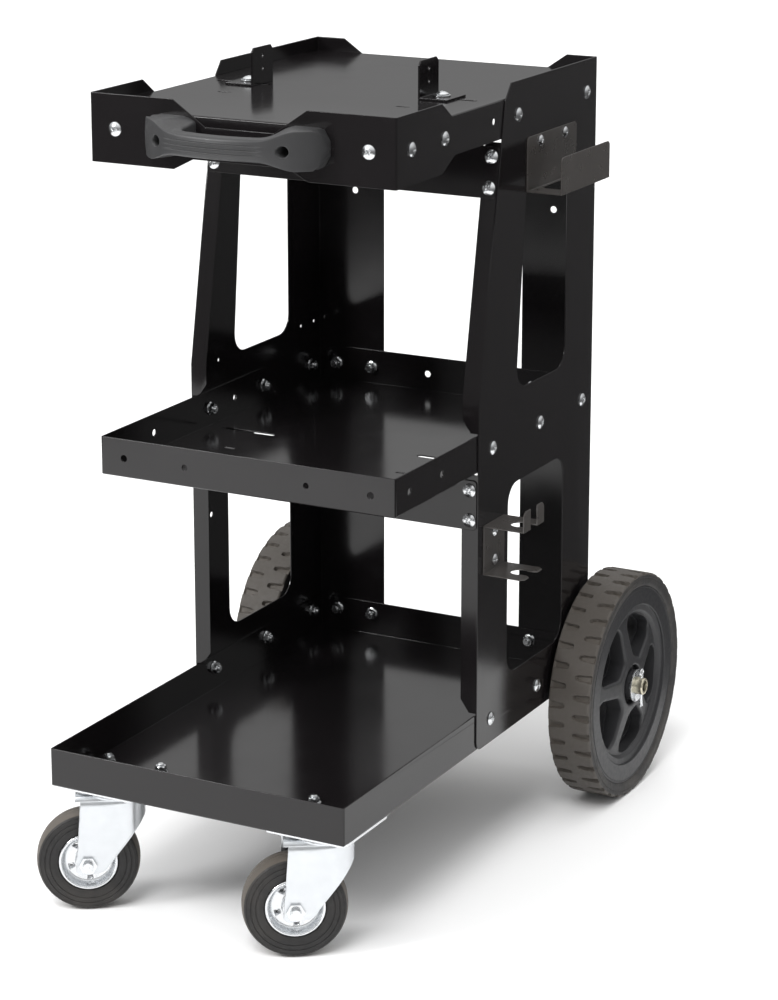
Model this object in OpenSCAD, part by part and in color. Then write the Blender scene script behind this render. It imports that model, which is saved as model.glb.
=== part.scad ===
// Two-wheeled welding cart of folded sheet: three trays bolted between two side panels,
// with spoked rear wheels, swivel casters in front, a bow handle and bolt-on holders.
// Millimetres, +Z up, front of the cart towards -Y, standing on the plane z = 0.
// Inner coordinates put y = 0 at the back face of the trays; in_place() moves them so
// that the origin lies at the middle of the footprint.

/* [Trays] */
// Width of a tray across its side walls
tray_w = 320; // [300:5:360]
// Length of the bottom tray from front to back
bottom_tray_len = 532; // [515:1:590]
// Length of the middle and top trays
short_tray_len = 432; // [420:1:470]
// Height of a tray wall
tray_h = 38; // [34:1:42]
// Thickness of all folded sheet
sheet = 1.5; // [1.2:0.1:2]
// Outside radius of a tray's folds
fold_r = 2.2; // [2.1:0.1:3]
// Height of the middle tray's underside
middle_tray_z = 416; // [400:1:430]
// Height of the top tray's open edge
top_tray_z = 735; // [720:1:760]
// Height of the fixing holes above the underside of the bottom tray
low_hole_rise = 25; // [20:0.5:28]

/* [Tray slots] */
// Length of the slot in which a stop slides
stop_slot_len = 62; // [50:1:70]
// Distance from the tray's side to the outer end of that slot
stop_slot_edge = 17; // [14:1:24]
// Distance of that slot from the back of the tray
stop_slot_back = 235; // [220:1:250]
// Length of the small locating slot
tab_slot_len = 14; // [10:1:18]
// Width of the small locating slot
tab_slot_w = 4; // [3:0.5:5]
// Distance of the small slot from the tray's side
tab_slot_edge = 63; // [55:1:70]
// Distance of the small slot from the back of the tray
tab_slot_back = 298; // [280:1:310]

/* [Fixing holes in the trays] */
// Distance of the rear panel bolts from the back of the tray
panel_bolt_rear = 23; // [20:1:28]
// Distance of the middle panel bolts from the back of the tray
panel_bolt_mid = 124; // [115:1:130]
// Distance of the front panel bolts from the front edge of the panel
panel_bolt_edge = 31; // [26:1:36]
// Distance of the front bolt of each guard ear from the front of the tray
ear_bolt_edge = 28; // [24:1:34]
// Distance between the two bolts of each guard ear
ear_bolt_pitch = 66; // [56:1:70]
// Distance of the outer back bolt from the tray's side
back_bolt_edge = 22; // [18:1:28]
// Distance between the two bolts of each back flange
back_bolt_pitch = 42.5; // [36:0.5:45]
// Distance from the middle to the spare hole in the back wall
spare_hole_out = 28; // [20:1:35]
// Diameter of a spare hole
spare_hole_d = 7; // [5:0.5:8]

/* [Side panels] */
// Depth of a side panel at the lower trays
panel_depth = 263; // [255:1:270]
// Height above the middle tray at which the front edge starts to lean back
knee_rise = 34; // [26:1:46]
// Lean of the upper front edge in degrees
panel_lean = 10.6; // [8:0.2:12]
// Height of the panel above the flat of the top tray
panel_rise = 14; // [10:1:20]
// Chamfer at the panel's upper front corner, along and down
top_chamfer_y = 12.5; // [8:0.5:20]
top_chamfer_z = 15.5; // [8:0.5:20]
// Radius of the panel's lower front corner
panel_foot_r = 10; // [5:1:16]
// Width of the front flange
front_flange = 18; // [16.5:0.5:24]
// Chamfer at the ends of the front flange
flange_chamfer = 13; // [8:1:15]
// Gap left between a flange and a tray
flange_gap = 1.5; // [1:0.5:3]
// Width of the back flange
back_flange = 80; // [78:1:90]
// Width of the back flange at its top edge
back_flange_top = 33; // [25:1:45]
// Height of the slope at the top of the back flange
back_flange_slope = 32; // [25:1:40]

/* [Panel windows] */
// Width of the strip behind both windows
rear_strip = 66; // [60:1:72]
// Width of the strip in front of the lower window
front_strip = 67; // [62:1:75]
// Height of the lower window above the bottom tray
low_window_rise = 21; // [16:1:30]
// Drop of the lower window below the middle tray
low_window_drop = 29; // [24:1:36]
// Width of the strip in front of the upper window's lower corner
high_front_strip = 82.5; // [76:0.5:90]
// Lean of that window's front edge in degrees
high_window_lean = 5.4; // [4:0.2:7]
// Height of the upper window above the middle tray
high_window_rise = 27; // [22:1:36]
// Drop of the upper window below the top tray
high_window_drop = 43; // [40:1:55]
// Corner radius of the windows
window_r = 20; // [10:1:25]

/* [Small panel holes] */
// Diameter of the accessory holes
accessory_hole_d = 3.6; // [3:0.2:5]
// Height of the accessory holes above the middle tray
accessory_rise = 27; // [24:1:30]
// Distance of the rear accessory hole from the back
rear_hole_back = 12; // [10:1:14]
// Distance between the two rear accessory holes
rear_hole_pitch = 28; // [24:1:32]
// Distance of the front accessory hole from the panel's front edge
front_hole_edge = 20; // [16:1:24]
// Distance between the two front accessory holes
front_hole_pitch = 32; // [28:1:36]
// Distance of the back flange's hole from the side of the trays
flange_hole_edge = 44; // [38:1:50]
// Distance of the back flange's hole below the top tray
flange_hole_drop = 109; // [95:1:135]

/* [Crossbars] */
// Height of a crossbar
crossbar_h = 50; // [46:1:56]
// Gap between a crossbar and the tray above it
crossbar_gap = 7; // [5:1:12]
// Distance between the two bolts at each end
crossbar_pitch = 30; // [26:1:34]
// Distance of those bolts from the outer face of the panel
crossbar_bolt_in = 9; // [8.5:0.5:10]
// Corner radius of a crossbar
crossbar_r = 4; // [2:0.5:8]

/* [Front guard] */
// Height of the guard
guard_h = 65.5; // [58:0.5:72]
// Length of each ear along the tray
guard_ear = 122; // [116:1:126]
// Length of the ear's slopes
ear_slope = 32; // [24:1:34]
// Drop of the ear's upper slope
ear_drop_top = 22.5; // [16:0.5:24]
// Rise of the ear's lower slope
ear_drop_low = 17; // [12:0.5:20]
// Half width of the notches at the edge of the guard
notch_out = 71; // [66:1:76]
// Half width of the upper notch at its floor
notch_top_in = 36; // [30:1:42]
// Half width of the lower notch at its floor
notch_low_in = 50; // [44:1:56]
// Height of the upper notch's floor above the guard's middle line
notch_top = 9; // [5:0.5:12]
// Depth of the lower notch's floor below the middle line
notch_low = 22; // [20:0.5:26]
// Distance of the front bolts from the tray's side
guard_bolt_edge = 26; // [20:1:34]

/* [Handle] */
// Length of the handle
handle_len = 192; // [180:1:200]
// Reach of the handle in front of the guard
handle_reach = 52; // [46:1:58]
// Height of the end pads
handle_pad_h = 40; // [36:1:44]
// Height of the grip
grip_h = 21; // [18:1:26]
// Depth of the grip from front to back
grip_depth = 18; // [15:1:22]
// Half length of the straight part of the grip
grip_half = 32; // [26:1:36]
// Half length at which the pads reach full height
pad_start = 64; // [60:1:68]
// Half length of the finger gap at the guard
finger_half = 46; // [42:1:48]
// Distance between the two screws
handle_pitch = 132; // [128:1:140]
// Diameter of the deep counterbore for a screw head
handle_bore_d = 11; // [10.2:0.2:12]
// Plastic left under the screw head
handle_floor = 8; // [6:0.5:12]
// Diameter of the handle screws
handle_screw_d = 5; // [4:0.5:6]

/* [Stops] */
// Width of a stop along the cart
stop_w = 40; // [34:1:44]
// Length of the stop's foot
stop_foot = 31; // [28:1:36]
// Height of the stop's upright
stop_h = 37; // [30:1:44]
// Thickness of a stop
stop_sheet = 2; // [1.5:0.1:3]
// Corner cut on the upright
stop_corner = 4; // [2:0.5:6]
// Diameter of the holes in the upright
stop_hole_d = 4; // [3:0.5:5]
// Distance between those holes
stop_hole_pitch = 12.5; // [10:0.5:15]
// Distance of the upper hole from the top
stop_hole_drop = 9; // [7:0.5:12]
// Distance of the right stop's screw from the tray's side
right_stop_edge = 54; // [28:0.5:68]
// Distance of the left stop's screw from the tray's side
left_stop_edge = 54; // [28:0.5:68]
// Washer under the stop's screw
stop_washer_d = 17; // [15:0.5:20]

/* [Cable hook] */
// Length of the hook
hook_len = 114; // [100:1:116]
// Distance from the back of the trays to the hook
hook_back = 49; // [44:1:56]
// Height of the hook's back plate
hook_h = 54; // [50:1:60]
// Reach of the hook from the panel
hook_reach = 38; // [32:1:42]
// Height of the hook's lip
hook_lip = 37; // [28:1:44]
// Height of the top of the back plate below the top tray
hook_drop = 6; // [4:0.5:8]
// Corner radius of the plates
hook_r = 5; // [3:0.5:8]
// Distance between the two screws
hook_pitch = 57; // [50:1:64]
// Distance of the screws from the plate's upper edge
hook_screw_drop = 7; // [6:0.5:9]
// Width of the bridges at the ends of the base
hook_bridge = 22; // [16:1:28]
// Chamfer of the opening in the base
hook_chamfer = 8; // [4:1:10]
// Web left beside the folds of the base
hook_web = 3; // [2.5:0.5:5]

/* [Torch holder] */
// Width of the holder along the cart
torch_w = 46; // [42:1:50]
// Height of the holder
torch_h = 50; // [46:1:56]
// Reach of the holder from the panel
torch_reach = 44; // [38:1:48]
// Drop of the holder below the middle tray
torch_drop = 55; // [51:1:62]
// Distance between its two screws
torch_pitch = 29.5; // [26:0.5:31]
// Width of the mouth in both forks
torch_mouth = 15; // [12:1:17]
// Diameter of the round seat behind the mouth
torch_seat_d = 18; // [17.5:0.5:22]
// Distance of the seat's centre from the panel
torch_seat_out = 29; // [26:1:31]
// Height of the tabs on the upper fork
torch_tab = 21; // [16:1:26]
// Corner cut on the tabs and tines
torch_corner = 4; // [2:0.5:5]

/* [Bolts] */
// Diameter of the frame bolts
bolt_d = 6; // [5:0.5:6]
// Diameter of the flanged button head
bolt_head_d = 13.6; // [12:0.2:14]
// Height of the head
bolt_head_h = 3.4; // [2.6:0.2:4]
// Height of the cylindrical rim of the head
bolt_rim_h = 0.9; // [0.6:0.1:1.2]
// Width of a nut across its flats
nut_af = 10; // [9:0.5:11]
// Height of a nut
nut_h = 6; // [5:0.5:7]
// Diameter of a nut's flange
nut_flange_d = 14; // [12:0.5:14.5]
// Thickness of a nut's flange
nut_flange_h = 1.4; // [1:0.1:2]
// Length of thread beyond the nut
thread_end = 2; // [1:0.5:4]
// Radial play of a bolt in its hole
hole_play = 0.3; // [0.2:0.05:0.5]
// Radial play of a thread in its nut
thread_play = 0.03; // [0.02:0.01:0.06]
// Diameter of the accessory screws
small_d = 5; // [4:0.5:5.5]
// Diameter of an accessory screw's head
small_head_d = 11; // [9:0.5:12]
// Height of an accessory screw's head
small_head_h = 2.8; // [2.4:0.2:3.2]
// Width of an accessory nut across its flats
small_af = 8; // [7.5:0.5:9]
// Height of an accessory nut
small_nut_h = 4.5; // [4:0.5:5]

/* [Rear axle] */
// Diameter of the axle tube
axle_d = 18; // [16:1:22]
// Diameter of its bore
axle_bore_d = 12; // [8:1:14]
// Distance of the axle behind the trays
axle_back = 15; // [13.5:0.5:22]
// Size of the lug that carries the axle, from its centre
lug_half = 24; // [20:1:28]
// Length of the bottom edge's slope down to the lug
lug_slope = 70; // [50:1:90]
// Play between the axle and its lug
lug_play = 0.15; // [0.05:0.05:0.3]
// Side play between panel, washers and wheel
side_play = 0.4; // [0.2:0.05:0.6]
// Diameter of the axle washers
axle_washer_d = 35; // [30:1:40]
// Thickness of the axle washers
axle_washer_t = 2; // [1.5:0.1:3]
// Length of axle beyond the outer washer
axle_end = 8.5; // [7:0.5:12]
// Wire diameter of a split pin
split_pin_d = 3; // [2.4:0.2:4]
// Length of a split pin under its eye
split_pin_len = 29; // [26:1:34]
// Diameter across the eye of a split pin
split_eye_d = 9; // [8:0.5:11]
// Angle by which each leg of a split pin is bent outwards
split_spread = 12; // [5:1:25]

/* [Rear wheels] */
// Diameter of a rear wheel
wheel_d = 240; // [220:2:260]
// Width of the tyre
tyre_w = 46; // [40:1:52]
// Depth of the tyre from tread to rim
tyre_depth = 14.4; // [12:0.2:18]
// Depth of the tread grooves
tread_depth = 4; // [3:0.5:6]
// Grooves around one row of the tread
tread_count = 36; // [24:1:40]
// Part of each pitch taken by a groove
groove_share = 0.3; // [0.2:0.05:0.4]
// Width of the plain rib round the middle of the tread
tread_rib = 4; // [2:0.5:8]
// Shoulder of the tyre along and across the axle
shoulder = 6; // [4:0.5:8]
// Width of the hub at the rim
rim_w = 42; // [38:1:44]
// Depth of the outer band of the rim
rim_band = 20; // [16:1:24]
// Depth of the stepped band inside it
step_band = 9; // [6:0.5:12]
// Drop of the stepped band from the rim's face
step_drop = 3; // [2:0.5:5]
// Thickness of the spokes
spoke_t = 28; // [16:1:32]
// Diameter of the boss at the middle
boss_d = 46; // [42:1:52]
// Diameter of the bearing tube inside the boss
core_d = 32; // [28:1:34]
// Depth of the ring-shaped pocket round the bearing tube
core_pocket = 6; // [4:0.5:10]
// Overhang of the bearing tube past the tyre's sides
core_lip = 1; // [0.5:0.5:3]
// Number of spokes
spoke_count = 5; // [4:1:7]
// Width of a spoke at the rim
spoke_w = 15; // [12:1:22]
// Distance of the openings between the spokes from the axle
opening_in = 32; // [30:1:38]
// Corner radius of those openings
spoke_r = 9; // [5:1:10]
// Angle by which the right wheel is turned
wheel_turn = 11; // [0:1:71]
// Radial play of a wheel on its axle
running_play = 0.06; // [0.03:0.01:0.1]

/* [Casters] */
// Overall height of a caster
caster_h = 131; // [126:1:140]
// Diameter of a caster wheel
caster_wheel_d = 100; // [90:1:104]
// Width of a caster tyre
caster_tyre_w = 30; // [26:1:34]
// Distance of a caster's kingpin from the tray's side
caster_edge = 45; // [44:1:52]
// Distance of the kingpin from the front of the bottom tray
caster_in = 48; // [45:1:60]
// Trail between kingpin and wheel axle
caster_trail = 30; // [24:1:36]
// Direction in which both casters trail, in degrees from +X
caster_heading = 212; // [0:1:359]
// Side of the square top plate
plate_side = 88; // [84:1:90]
// Corner radius of the top plate
plate_r = 8; // [5:1:12]
// Thickness of the top plate
plate_t = 3; // [2.5:0.5:4]
// Distance between the plate's holes, both ways
plate_pitch = 60; // [58:1:64]
// Diameter of the kingpin
kingpin_d = 12; // [10:1:14]
// Diameter of the kingpin's lower head
kingpin_head_d = 24; // [20:1:28]
// Height of the kingpin's lower head
kingpin_head_h = 3.5; // [3:0.5:5]
// Diameter of the bearing balls
ball_d = 8; // [7:0.5:9]
// Radius of the ring of balls
ball_ring_r = 19; // [17:0.5:20]
// Number of balls in the ring
ball_count = 14; // [8:1:14]
// Depth of the ball tracks
track_depth = 0.6; // [0.4:0.1:1]
// Play between balls and tracks
ball_play = 0.1; // [0.05:0.05:0.2]
// Outer radius of the race cup
cup_r = 27; // [25:0.5:29]
// Thickness of the race cup
cup_t = 1.2; // [1:0.1:1.5]
// Thickness of the fork's sheet
fork_t = 2.5; // [2:0.1:3]
// Clear width between the fork's legs
fork_gap = 38; // [37:1:44]
// Outside radius of the fork's folds
fork_fold_r = 6; // [4:0.5:8]
// Radius of the fork's crown round the kingpin
crown_r = 30; // [28:1:32]
// Width of the fork behind the kingpin
fork_rear = 21; // [18:1:26]
// Width of the fork beyond the wheel axle
fork_front = 11; // [9:1:14]
// Radius of the leg's tip round the axle
fork_tip_r = 12.5; // [11:0.5:16]

/* [Caster wheels] */
// Diameter of the caster's axle bolt
caster_axle_d = 10; // [8:0.5:10]
// Outside diameter of the spacer sleeve
sleeve_d = 16; // [14:0.5:18]
// Radius at which the tyre meets its rim
caster_rim_r = 34; // [32:0.5:36]
// Radius of the bright bead on the rim
caster_bead_r = 29; // [27:0.5:30]
// Thickness of the pressed rim
caster_rim_t = 2; // [1.6:0.1:2.6]
// Diameter of the hub tube
caster_hub_d = 24; // [21:0.5:26]
// Number of holes in the pressed rim
rim_hole_count = 5; // [4:1:6]
// Diameter of those holes
rim_hole_d = 6; // [4:0.5:7]
// Width across flats of the axle bolt and nut
caster_af = 16; // [15:1:17]
// Height of the axle bolt's head and of its nut
caster_nut_h = 7; // [6:0.5:9]

/* [Hidden] */

$fn = 48;
// Segments in each rounded corner of a drawn outline, and in a long curve
corner_steps = 6;
curve_steps = 20;
// Overrun of every cut past the face it opens
over = 1;
// Clearance between two pieces that only rest on each other
rest_gap = 0.05;
right = 1;
left = -1;

half_w = tray_w / 2;
panel_x = half_w + sheet;
bottom_tray_z = caster_h;
bottom_tray_top = bottom_tray_z + tray_h;
middle_tray_top = middle_tray_z + tray_h;
top_flat_z = top_tray_z + tray_h;
panel_top = top_flat_z + panel_rise;
low_hole_z = bottom_tray_z + low_hole_rise;
middle_hole_z = middle_tray_z + tray_h / 2;
top_hole_z = top_tray_z + tray_h / 2;
knee_z = middle_tray_top + knee_rise;
flange_hole_z = top_tray_z - flange_hole_drop;

// Distances from the middle, or from the back, of what is set from an edge
back_bolt_out = half_w - back_bolt_edge;
back_bolt_in = back_bolt_out - back_bolt_pitch;
guard_bolt_out = half_w - guard_bolt_edge;
flange_hole_out = half_w - flange_hole_edge;
caster_out = half_w - caster_edge;
stop_slot_mid = half_w - stop_slot_edge - stop_slot_len / 2;
tab_slot_out = half_w - tab_slot_edge;
left_stop_out = half_w - left_stop_edge;
right_stop_out = half_w - right_stop_edge;
panel_bolt_front = panel_depth - panel_bolt_edge;
top_bolt_front = panel_depth - (top_hole_z - knee_z) * tan(panel_lean) - panel_bolt_edge;
ear_bolt_front = short_tray_len - ear_bolt_edge;
ear_bolt_rear = ear_bolt_front - ear_bolt_pitch;
low_window_front = panel_depth - front_strip;
high_window_front = panel_depth - high_front_strip;
axle_z = wheel_d / 2;
caster_y = -bottom_tray_len + caster_in;

// Places along the rear axle, from the panel outwards
washer_in_x = panel_x + side_play;
hub_in_x = washer_in_x + axle_washer_t + side_play;
hub_len = tyre_w + 2 * core_lip;
tyre_in_x = hub_in_x + core_lip;
wheel_mid_x = tyre_in_x + tyre_w / 2;
hub_out_x = hub_in_x + hub_len;
washer_out_x = hub_out_x + side_play;
split_pin_x = washer_out_x + axle_washer_t + axle_end / 2;
axle_half = washer_out_x + axle_washer_t + axle_end;

// Footprint along Y: the casters reach furthest in front, the rear wheels furthest back
tyre_round = caster_tyre_w / 5;
front_reach = -caster_y - caster_trail * sin(caster_heading) + tyre_round
    + (caster_wheel_d / 2 - tyre_round) * abs(sin(caster_heading))
    + (caster_tyre_w / 2 - tyre_round) * abs(cos(caster_heading));
back_reach = axle_back + wheel_d / 2;
origin_y = (max(front_reach, bottom_tray_len) - back_reach) / 2;

// Heights inside a caster, from the tray down
plate_under = caster_h - plate_t;
ball_z = plate_under - ball_d / 2 - ball_play + track_depth;
crown_top = ball_z - ball_d / 2 - ball_play + track_depth;
crown_under = crown_top - fork_t;
caster_axle_z = caster_wheel_d / 2;
fork_half = fork_gap / 2 + fork_t;

function unit(v) = v / norm(v);
// A corner at p between a and b, rounded to radius r
function corner(a, p, b, r) =
    let (u = unit(a - p), v = unit(b - p), half = acos(u * v) / 2)
    let (c = p + unit(u + v) * r / sin(half), s = p + u * r / tan(half), e = p + v * r / tan(half))
    let (a0 = atan2(s.y - c.y, s.x - c.x), a1 = atan2(e.y - c.y, e.x - c.x))
    let (turn = (a1 - a0 + 540) % 360 - 180)
    [for (i = [0:corner_steps]) c + r * [cos(a0 + turn * i / corner_steps), sin(a0 + turn * i / corner_steps)]];
// An outline of [x, y, radius] points with its corners rounded
function rounded(pts) = [
    for (i = [0:len(pts) - 1])
        let (p = pts[i], a = pts[(i + len(pts) - 1) % len(pts)], b = pts[(i + 1) % len(pts)])
        each (p.z > 0 ? corner([a.x, a.y], [p.x, p.y], [b.x, b.y], p.z) : [[p.x, p.y]])
];
function mirrored(pts) = [for (i = [len(pts) - 1:-1:0]) [-pts[i].x, pts[i].y]];

module in_place() translate([0, origin_y, 0]) children();
module on_side(side) mirror([side == left ? 1 : 0, 0, 0]) children();
module both_sides() for (side = [right, left]) on_side(side) children();
// Draws in the Y-Z plane and extrudes along +X
module along_x(length) rotate([90, 0, 90]) linear_extrude(length) children();
// Draws in the X-Z plane and extrudes along -Y
module along_y(length) rotate([90, 0, 0]) linear_extrude(length) children();
// The leaning face of the panels: local z runs up the slope, -y points out of the face
module on_lean() translate([0, -panel_depth, knee_z]) rotate([-panel_lean, 0, 0]) children();
module hex(af, h) cylinder(d = af / cos(30), h = h, $fn = 6);

module powder_black() color([0.07, 0.07, 0.08]) children();
module zinc() color([0.78, 0.79, 0.81]) children();

// Fasteners are drawn at a site whose +Z points out of the outer sheet; grip is what they clamp
module button_bolt(d, head_d, head_h, rim_h, length) {
    dome_h = head_h - rim_h;
    dome_r = (head_d * head_d / 4 + dome_h * dome_h) / (2 * dome_h);
    translate([0, 0, -length]) cylinder(d = d, h = length + rim_h);
    intersection() {
        cylinder(d = head_d, h = head_h);
        translate([0, 0, head_h - dome_r]) sphere(r = dome_r);
    }
}
module frame_bolt(grip)
    button_bolt(bolt_d, bolt_head_d, bolt_head_h, bolt_rim_h, grip + nut_h + thread_end);
module frame_nut(grip) translate([0, 0, -grip]) mirror([0, 0, 1]) difference() {
    union() {
        cylinder(d = nut_flange_d, h = nut_flange_h);
        hex(nut_af, nut_h);
    }
    translate([0, 0, -over]) cylinder(d = bolt_d + 2 * thread_play, h = nut_h + 2 * over);
}
module drill(d, depth) translate([0, 0, -depth]) cylinder(d = d, h = depth + over);
module bolt_hole(grip) drill(bolt_d + 2 * hole_play, grip + over);
module small_screw(grip)
    button_bolt(small_d, small_head_d, small_head_h, bolt_rim_h, grip + small_nut_h + thread_end);
module small_nut(grip) translate([0, 0, -grip]) mirror([0, 0, 1]) difference() {
    hex(small_af, small_nut_h);
    translate([0, 0, -over]) cylinder(d = small_d + 2 * thread_play, h = small_nut_h + 2 * over);
}
module small_hole(grip) drill(small_d + 2 * hole_play, grip + over);

// Sites of the fasteners
module side_site(y, z) translate([panel_x, y, z]) rotate([0, 90, 0]) children();
module back_site(x, z) translate([x, sheet, z]) rotate([-90, 0, 0]) children();
module front_site(x, y, z) translate([x, y, z]) rotate([90, 0, 0]) children();
module tray_joints() {
    both_sides() {
        for (back = [panel_bolt_rear, panel_bolt_mid, panel_bolt_front], z = [low_hole_z, middle_hole_z])
            side_site(-back, z) children();
        for (back = [panel_bolt_rear, top_bolt_front]) side_site(-back, top_hole_z) children();
    }
    both_sides() for (x = [back_bolt_in, back_bolt_out], z = [low_hole_z, middle_hole_z, top_hole_z])
        back_site(x, z) children();
}
module bar_sites() both_sides() for (dz = [-crossbar_pitch / 2, crossbar_pitch / 2])
    front_site(panel_x - crossbar_bolt_in, -sheet, dz) children();
module at_middle_bar() translate([0, -panel_depth, middle_tray_z - crossbar_gap - crossbar_h / 2]) children();
// The upper bar's top edge stays the same gap below the top tray, measured down the slope
upper_bar_run = (top_tray_z - crossbar_gap - knee_z) / cos(panel_lean) - crossbar_h / 2;
module at_upper_bar() on_lean() translate([0, 0, upper_bar_run]) children();
module crossbar_joints() {
    at_middle_bar() bar_sites() children();
    at_upper_bar() bar_sites() children();
}
module guard_joints() both_sides() {
    front_site(guard_bolt_out, -short_tray_len - sheet, top_hole_z) children();
    for (back = [ear_bolt_rear, ear_bolt_front]) side_site(-back, top_hole_z) children();
}
module handle_joints() both_sides()
    front_site(handle_pitch / 2, -short_tray_len - sheet, top_hole_z) children();
hook_top = top_tray_z - hook_drop;
hook_mid = -hook_back - hook_len / 2;
torch_top = middle_tray_z - torch_drop;
torch_mid = -(panel_depth + low_window_front) / 2;
module hook_joints() for (dy = [-hook_pitch / 2, hook_pitch / 2])
    side_site(hook_mid + dy, hook_top - hook_screw_drop) children();
module torch_joints() for (dz = [-torch_pitch / 2, torch_pitch / 2])
    side_site(torch_mid, torch_top - torch_h / 2 + dz) children();
module accessory_joints() {
    hook_joints() children();
    torch_joints() children();
}

// A tray is a pan folded up on all four sides, with its back face at y = 0
module fold_profile(w, h, r) {
    translate([-w / 2, r]) square([w, h - r]);
    translate([-w / 2 + r, 0]) square([w - 2 * r, h]);
    for (x = [-w / 2 + r, w / 2 - r]) translate([x, r]) circle(r = r);
}
module upright_block(w, l, h, r) intersection() {
    along_y(l) fold_profile(w, h, r);
    translate([-w / 2, -l / 2, 0]) along_x(w) fold_profile(l, h, r);
    rounded_plan(w, l, h, r);
}
// Plan of the block with its upright corners rounded
module rounded_plan(w, l, h, r) {
    translate([-w / 2 + r, -l, 0]) cube([w - 2 * r, l, h]);
    translate([-w / 2, -l + r, 0]) cube([w, l - 2 * r, h]);
    for (x = [-w / 2 + r, w / 2 - r], y = [-l + r, -r]) translate([x, y, 0]) cylinder(r = r, h = h);
}
module pan(len) difference() {
    upright_block(tray_w, len, tray_h, fold_r);
    translate([-half_w + sheet, -len + sheet, sheet]) cube([tray_w - 2 * sheet, len - 2 * sheet, tray_h]);
}
module slot(l, w, depth) {
    translate([0, -w / 2, -over]) translate([-(l - w) / 2, 0, 0]) cube([l - w, w, depth + 2 * over]);
    for (x = [-(l - w) / 2, (l - w) / 2]) translate([x, 0, -over]) cylinder(d = w, h = depth + 2 * over);
}
stop_slot_w = bolt_d + 2 * hole_play;
// The middle tray and the top tray are one stamping; the top one is turned over
module short_pan() difference() {
    pan(short_tray_len);
    both_sides() {
        translate([stop_slot_mid, -stop_slot_back, 0]) slot(stop_slot_len, stop_slot_w, sheet);
        translate([tab_slot_out, -tab_slot_back, 0]) slot(tab_slot_len, tab_slot_w, sheet);
        for (back = [panel_bolt_rear, panel_bolt_mid, top_bolt_front, panel_bolt_front,
                ear_bolt_rear, ear_bolt_front])
            side_site(-back, tray_h / 2) bolt_hole(2 * sheet);
        for (x = [back_bolt_in, back_bolt_out]) back_site(x, tray_h / 2) bolt_hole(2 * sheet);
        back_site(spare_hole_out, tray_h / 2) drill(spare_hole_d, 2 * sheet + over);
        front_site(guard_bolt_out, -short_tray_len - sheet, tray_h / 2) bolt_hole(2 * sheet);
        front_site(handle_pitch / 2, -short_tray_len - sheet, tray_h / 2)
            drill(handle_screw_d + 2 * hole_play, 2 * sheet + over);
    }
}
module bottom_tray() powder_black() in_place() difference() {
    translate([0, 0, bottom_tray_z]) pan(bottom_tray_len);
    tray_joints() bolt_hole(2 * sheet);
    caster_bolt_sites() bolt_hole(sheet + plate_t);
}
module middle_tray() powder_black() in_place() translate([0, 0, middle_tray_z]) short_pan();
module top_tray() powder_black() in_place()
    translate([0, 0, top_flat_z]) rotate([0, 180, 0]) short_pan();

// Side panels
lug_top = axle_z + lug_half;
lean_top_run = (panel_top - top_chamfer_z - knee_z) * tan(panel_lean);
module panel_outline() polygon(rounded([
    [-panel_depth, bottom_tray_z, panel_foot_r],
    [-panel_depth, knee_z, 0],
    [-panel_depth + lean_top_run, panel_top - top_chamfer_z, 0],
    [-panel_depth + lean_top_run + top_chamfer_y, panel_top, 0],
    [sheet, panel_top, 0],
    [sheet, lug_top, 0],
    [axle_back + lug_half, lug_top, lug_half * 0.8],
    [axle_back + lug_half, axle_z - lug_half, lug_half * 0.8],
    [axle_back - lug_half, axle_z - lug_half, lug_half * 0.8],
    [axle_back - lug_half - lug_slope / 2, bottom_tray_z, 0]
]));
module low_window() polygon(rounded([
    [-low_window_front, bottom_tray_top + low_window_rise, window_r],
    [-low_window_front, middle_tray_z - low_window_drop, window_r],
    [-rear_strip, middle_tray_z - low_window_drop, window_r],
    [-rear_strip, bottom_tray_top + low_window_rise, window_r]
]));
high_window_z = middle_tray_top + high_window_rise;
high_window_top = top_tray_z - high_window_drop;
high_window_run = (high_window_top - high_window_z) * tan(high_window_lean);
module high_window() polygon(rounded([
    [-high_window_front, high_window_z, window_r],
    [-high_window_front + high_window_run, high_window_top, window_r],
    [-rear_strip, high_window_top, window_r],
    [-rear_strip, high_window_z, window_r]
]));
flange_in_x = panel_x - front_flange;
module low_front_flange() translate([0, -panel_depth + sheet, 0]) along_y(sheet) polygon([
    [half_w, bottom_tray_top + flange_gap],
    [half_w, middle_tray_z - flange_gap],
    [flange_in_x, middle_tray_z - flange_gap],
    [flange_in_x, bottom_tray_top + flange_gap + flange_chamfer],
    [flange_in_x + flange_chamfer * 0.7, bottom_tray_top + flange_gap]
]);
module high_front_flange() {
    translate([0, -panel_depth + sheet, 0]) along_y(sheet) polygon([
        [half_w, middle_tray_top + flange_gap],
        [half_w, knee_z],
        [flange_in_x, knee_z],
        [flange_in_x, middle_tray_top + flange_gap + flange_chamfer],
        [flange_in_x + flange_chamfer * 0.7, middle_tray_top + flange_gap]
    ]);
    lean_end = (top_tray_z - flange_gap - knee_z) / cos(panel_lean) - sheet;
    on_lean() translate([0, sheet, 0]) along_y(sheet) polygon([
        [half_w, 0], [half_w, lean_end], [flange_in_x, lean_end], [flange_in_x, 0]
    ]);
}
module back_flange() translate([0, sheet, 0]) along_y(sheet) polygon([
    [half_w, lug_top + flange_gap],
    [half_w, panel_top],
    [panel_x - back_flange_top, panel_top],
    [panel_x - back_flange, panel_top - back_flange_slope],
    [panel_x - back_flange, lug_top + flange_gap]
]);
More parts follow.
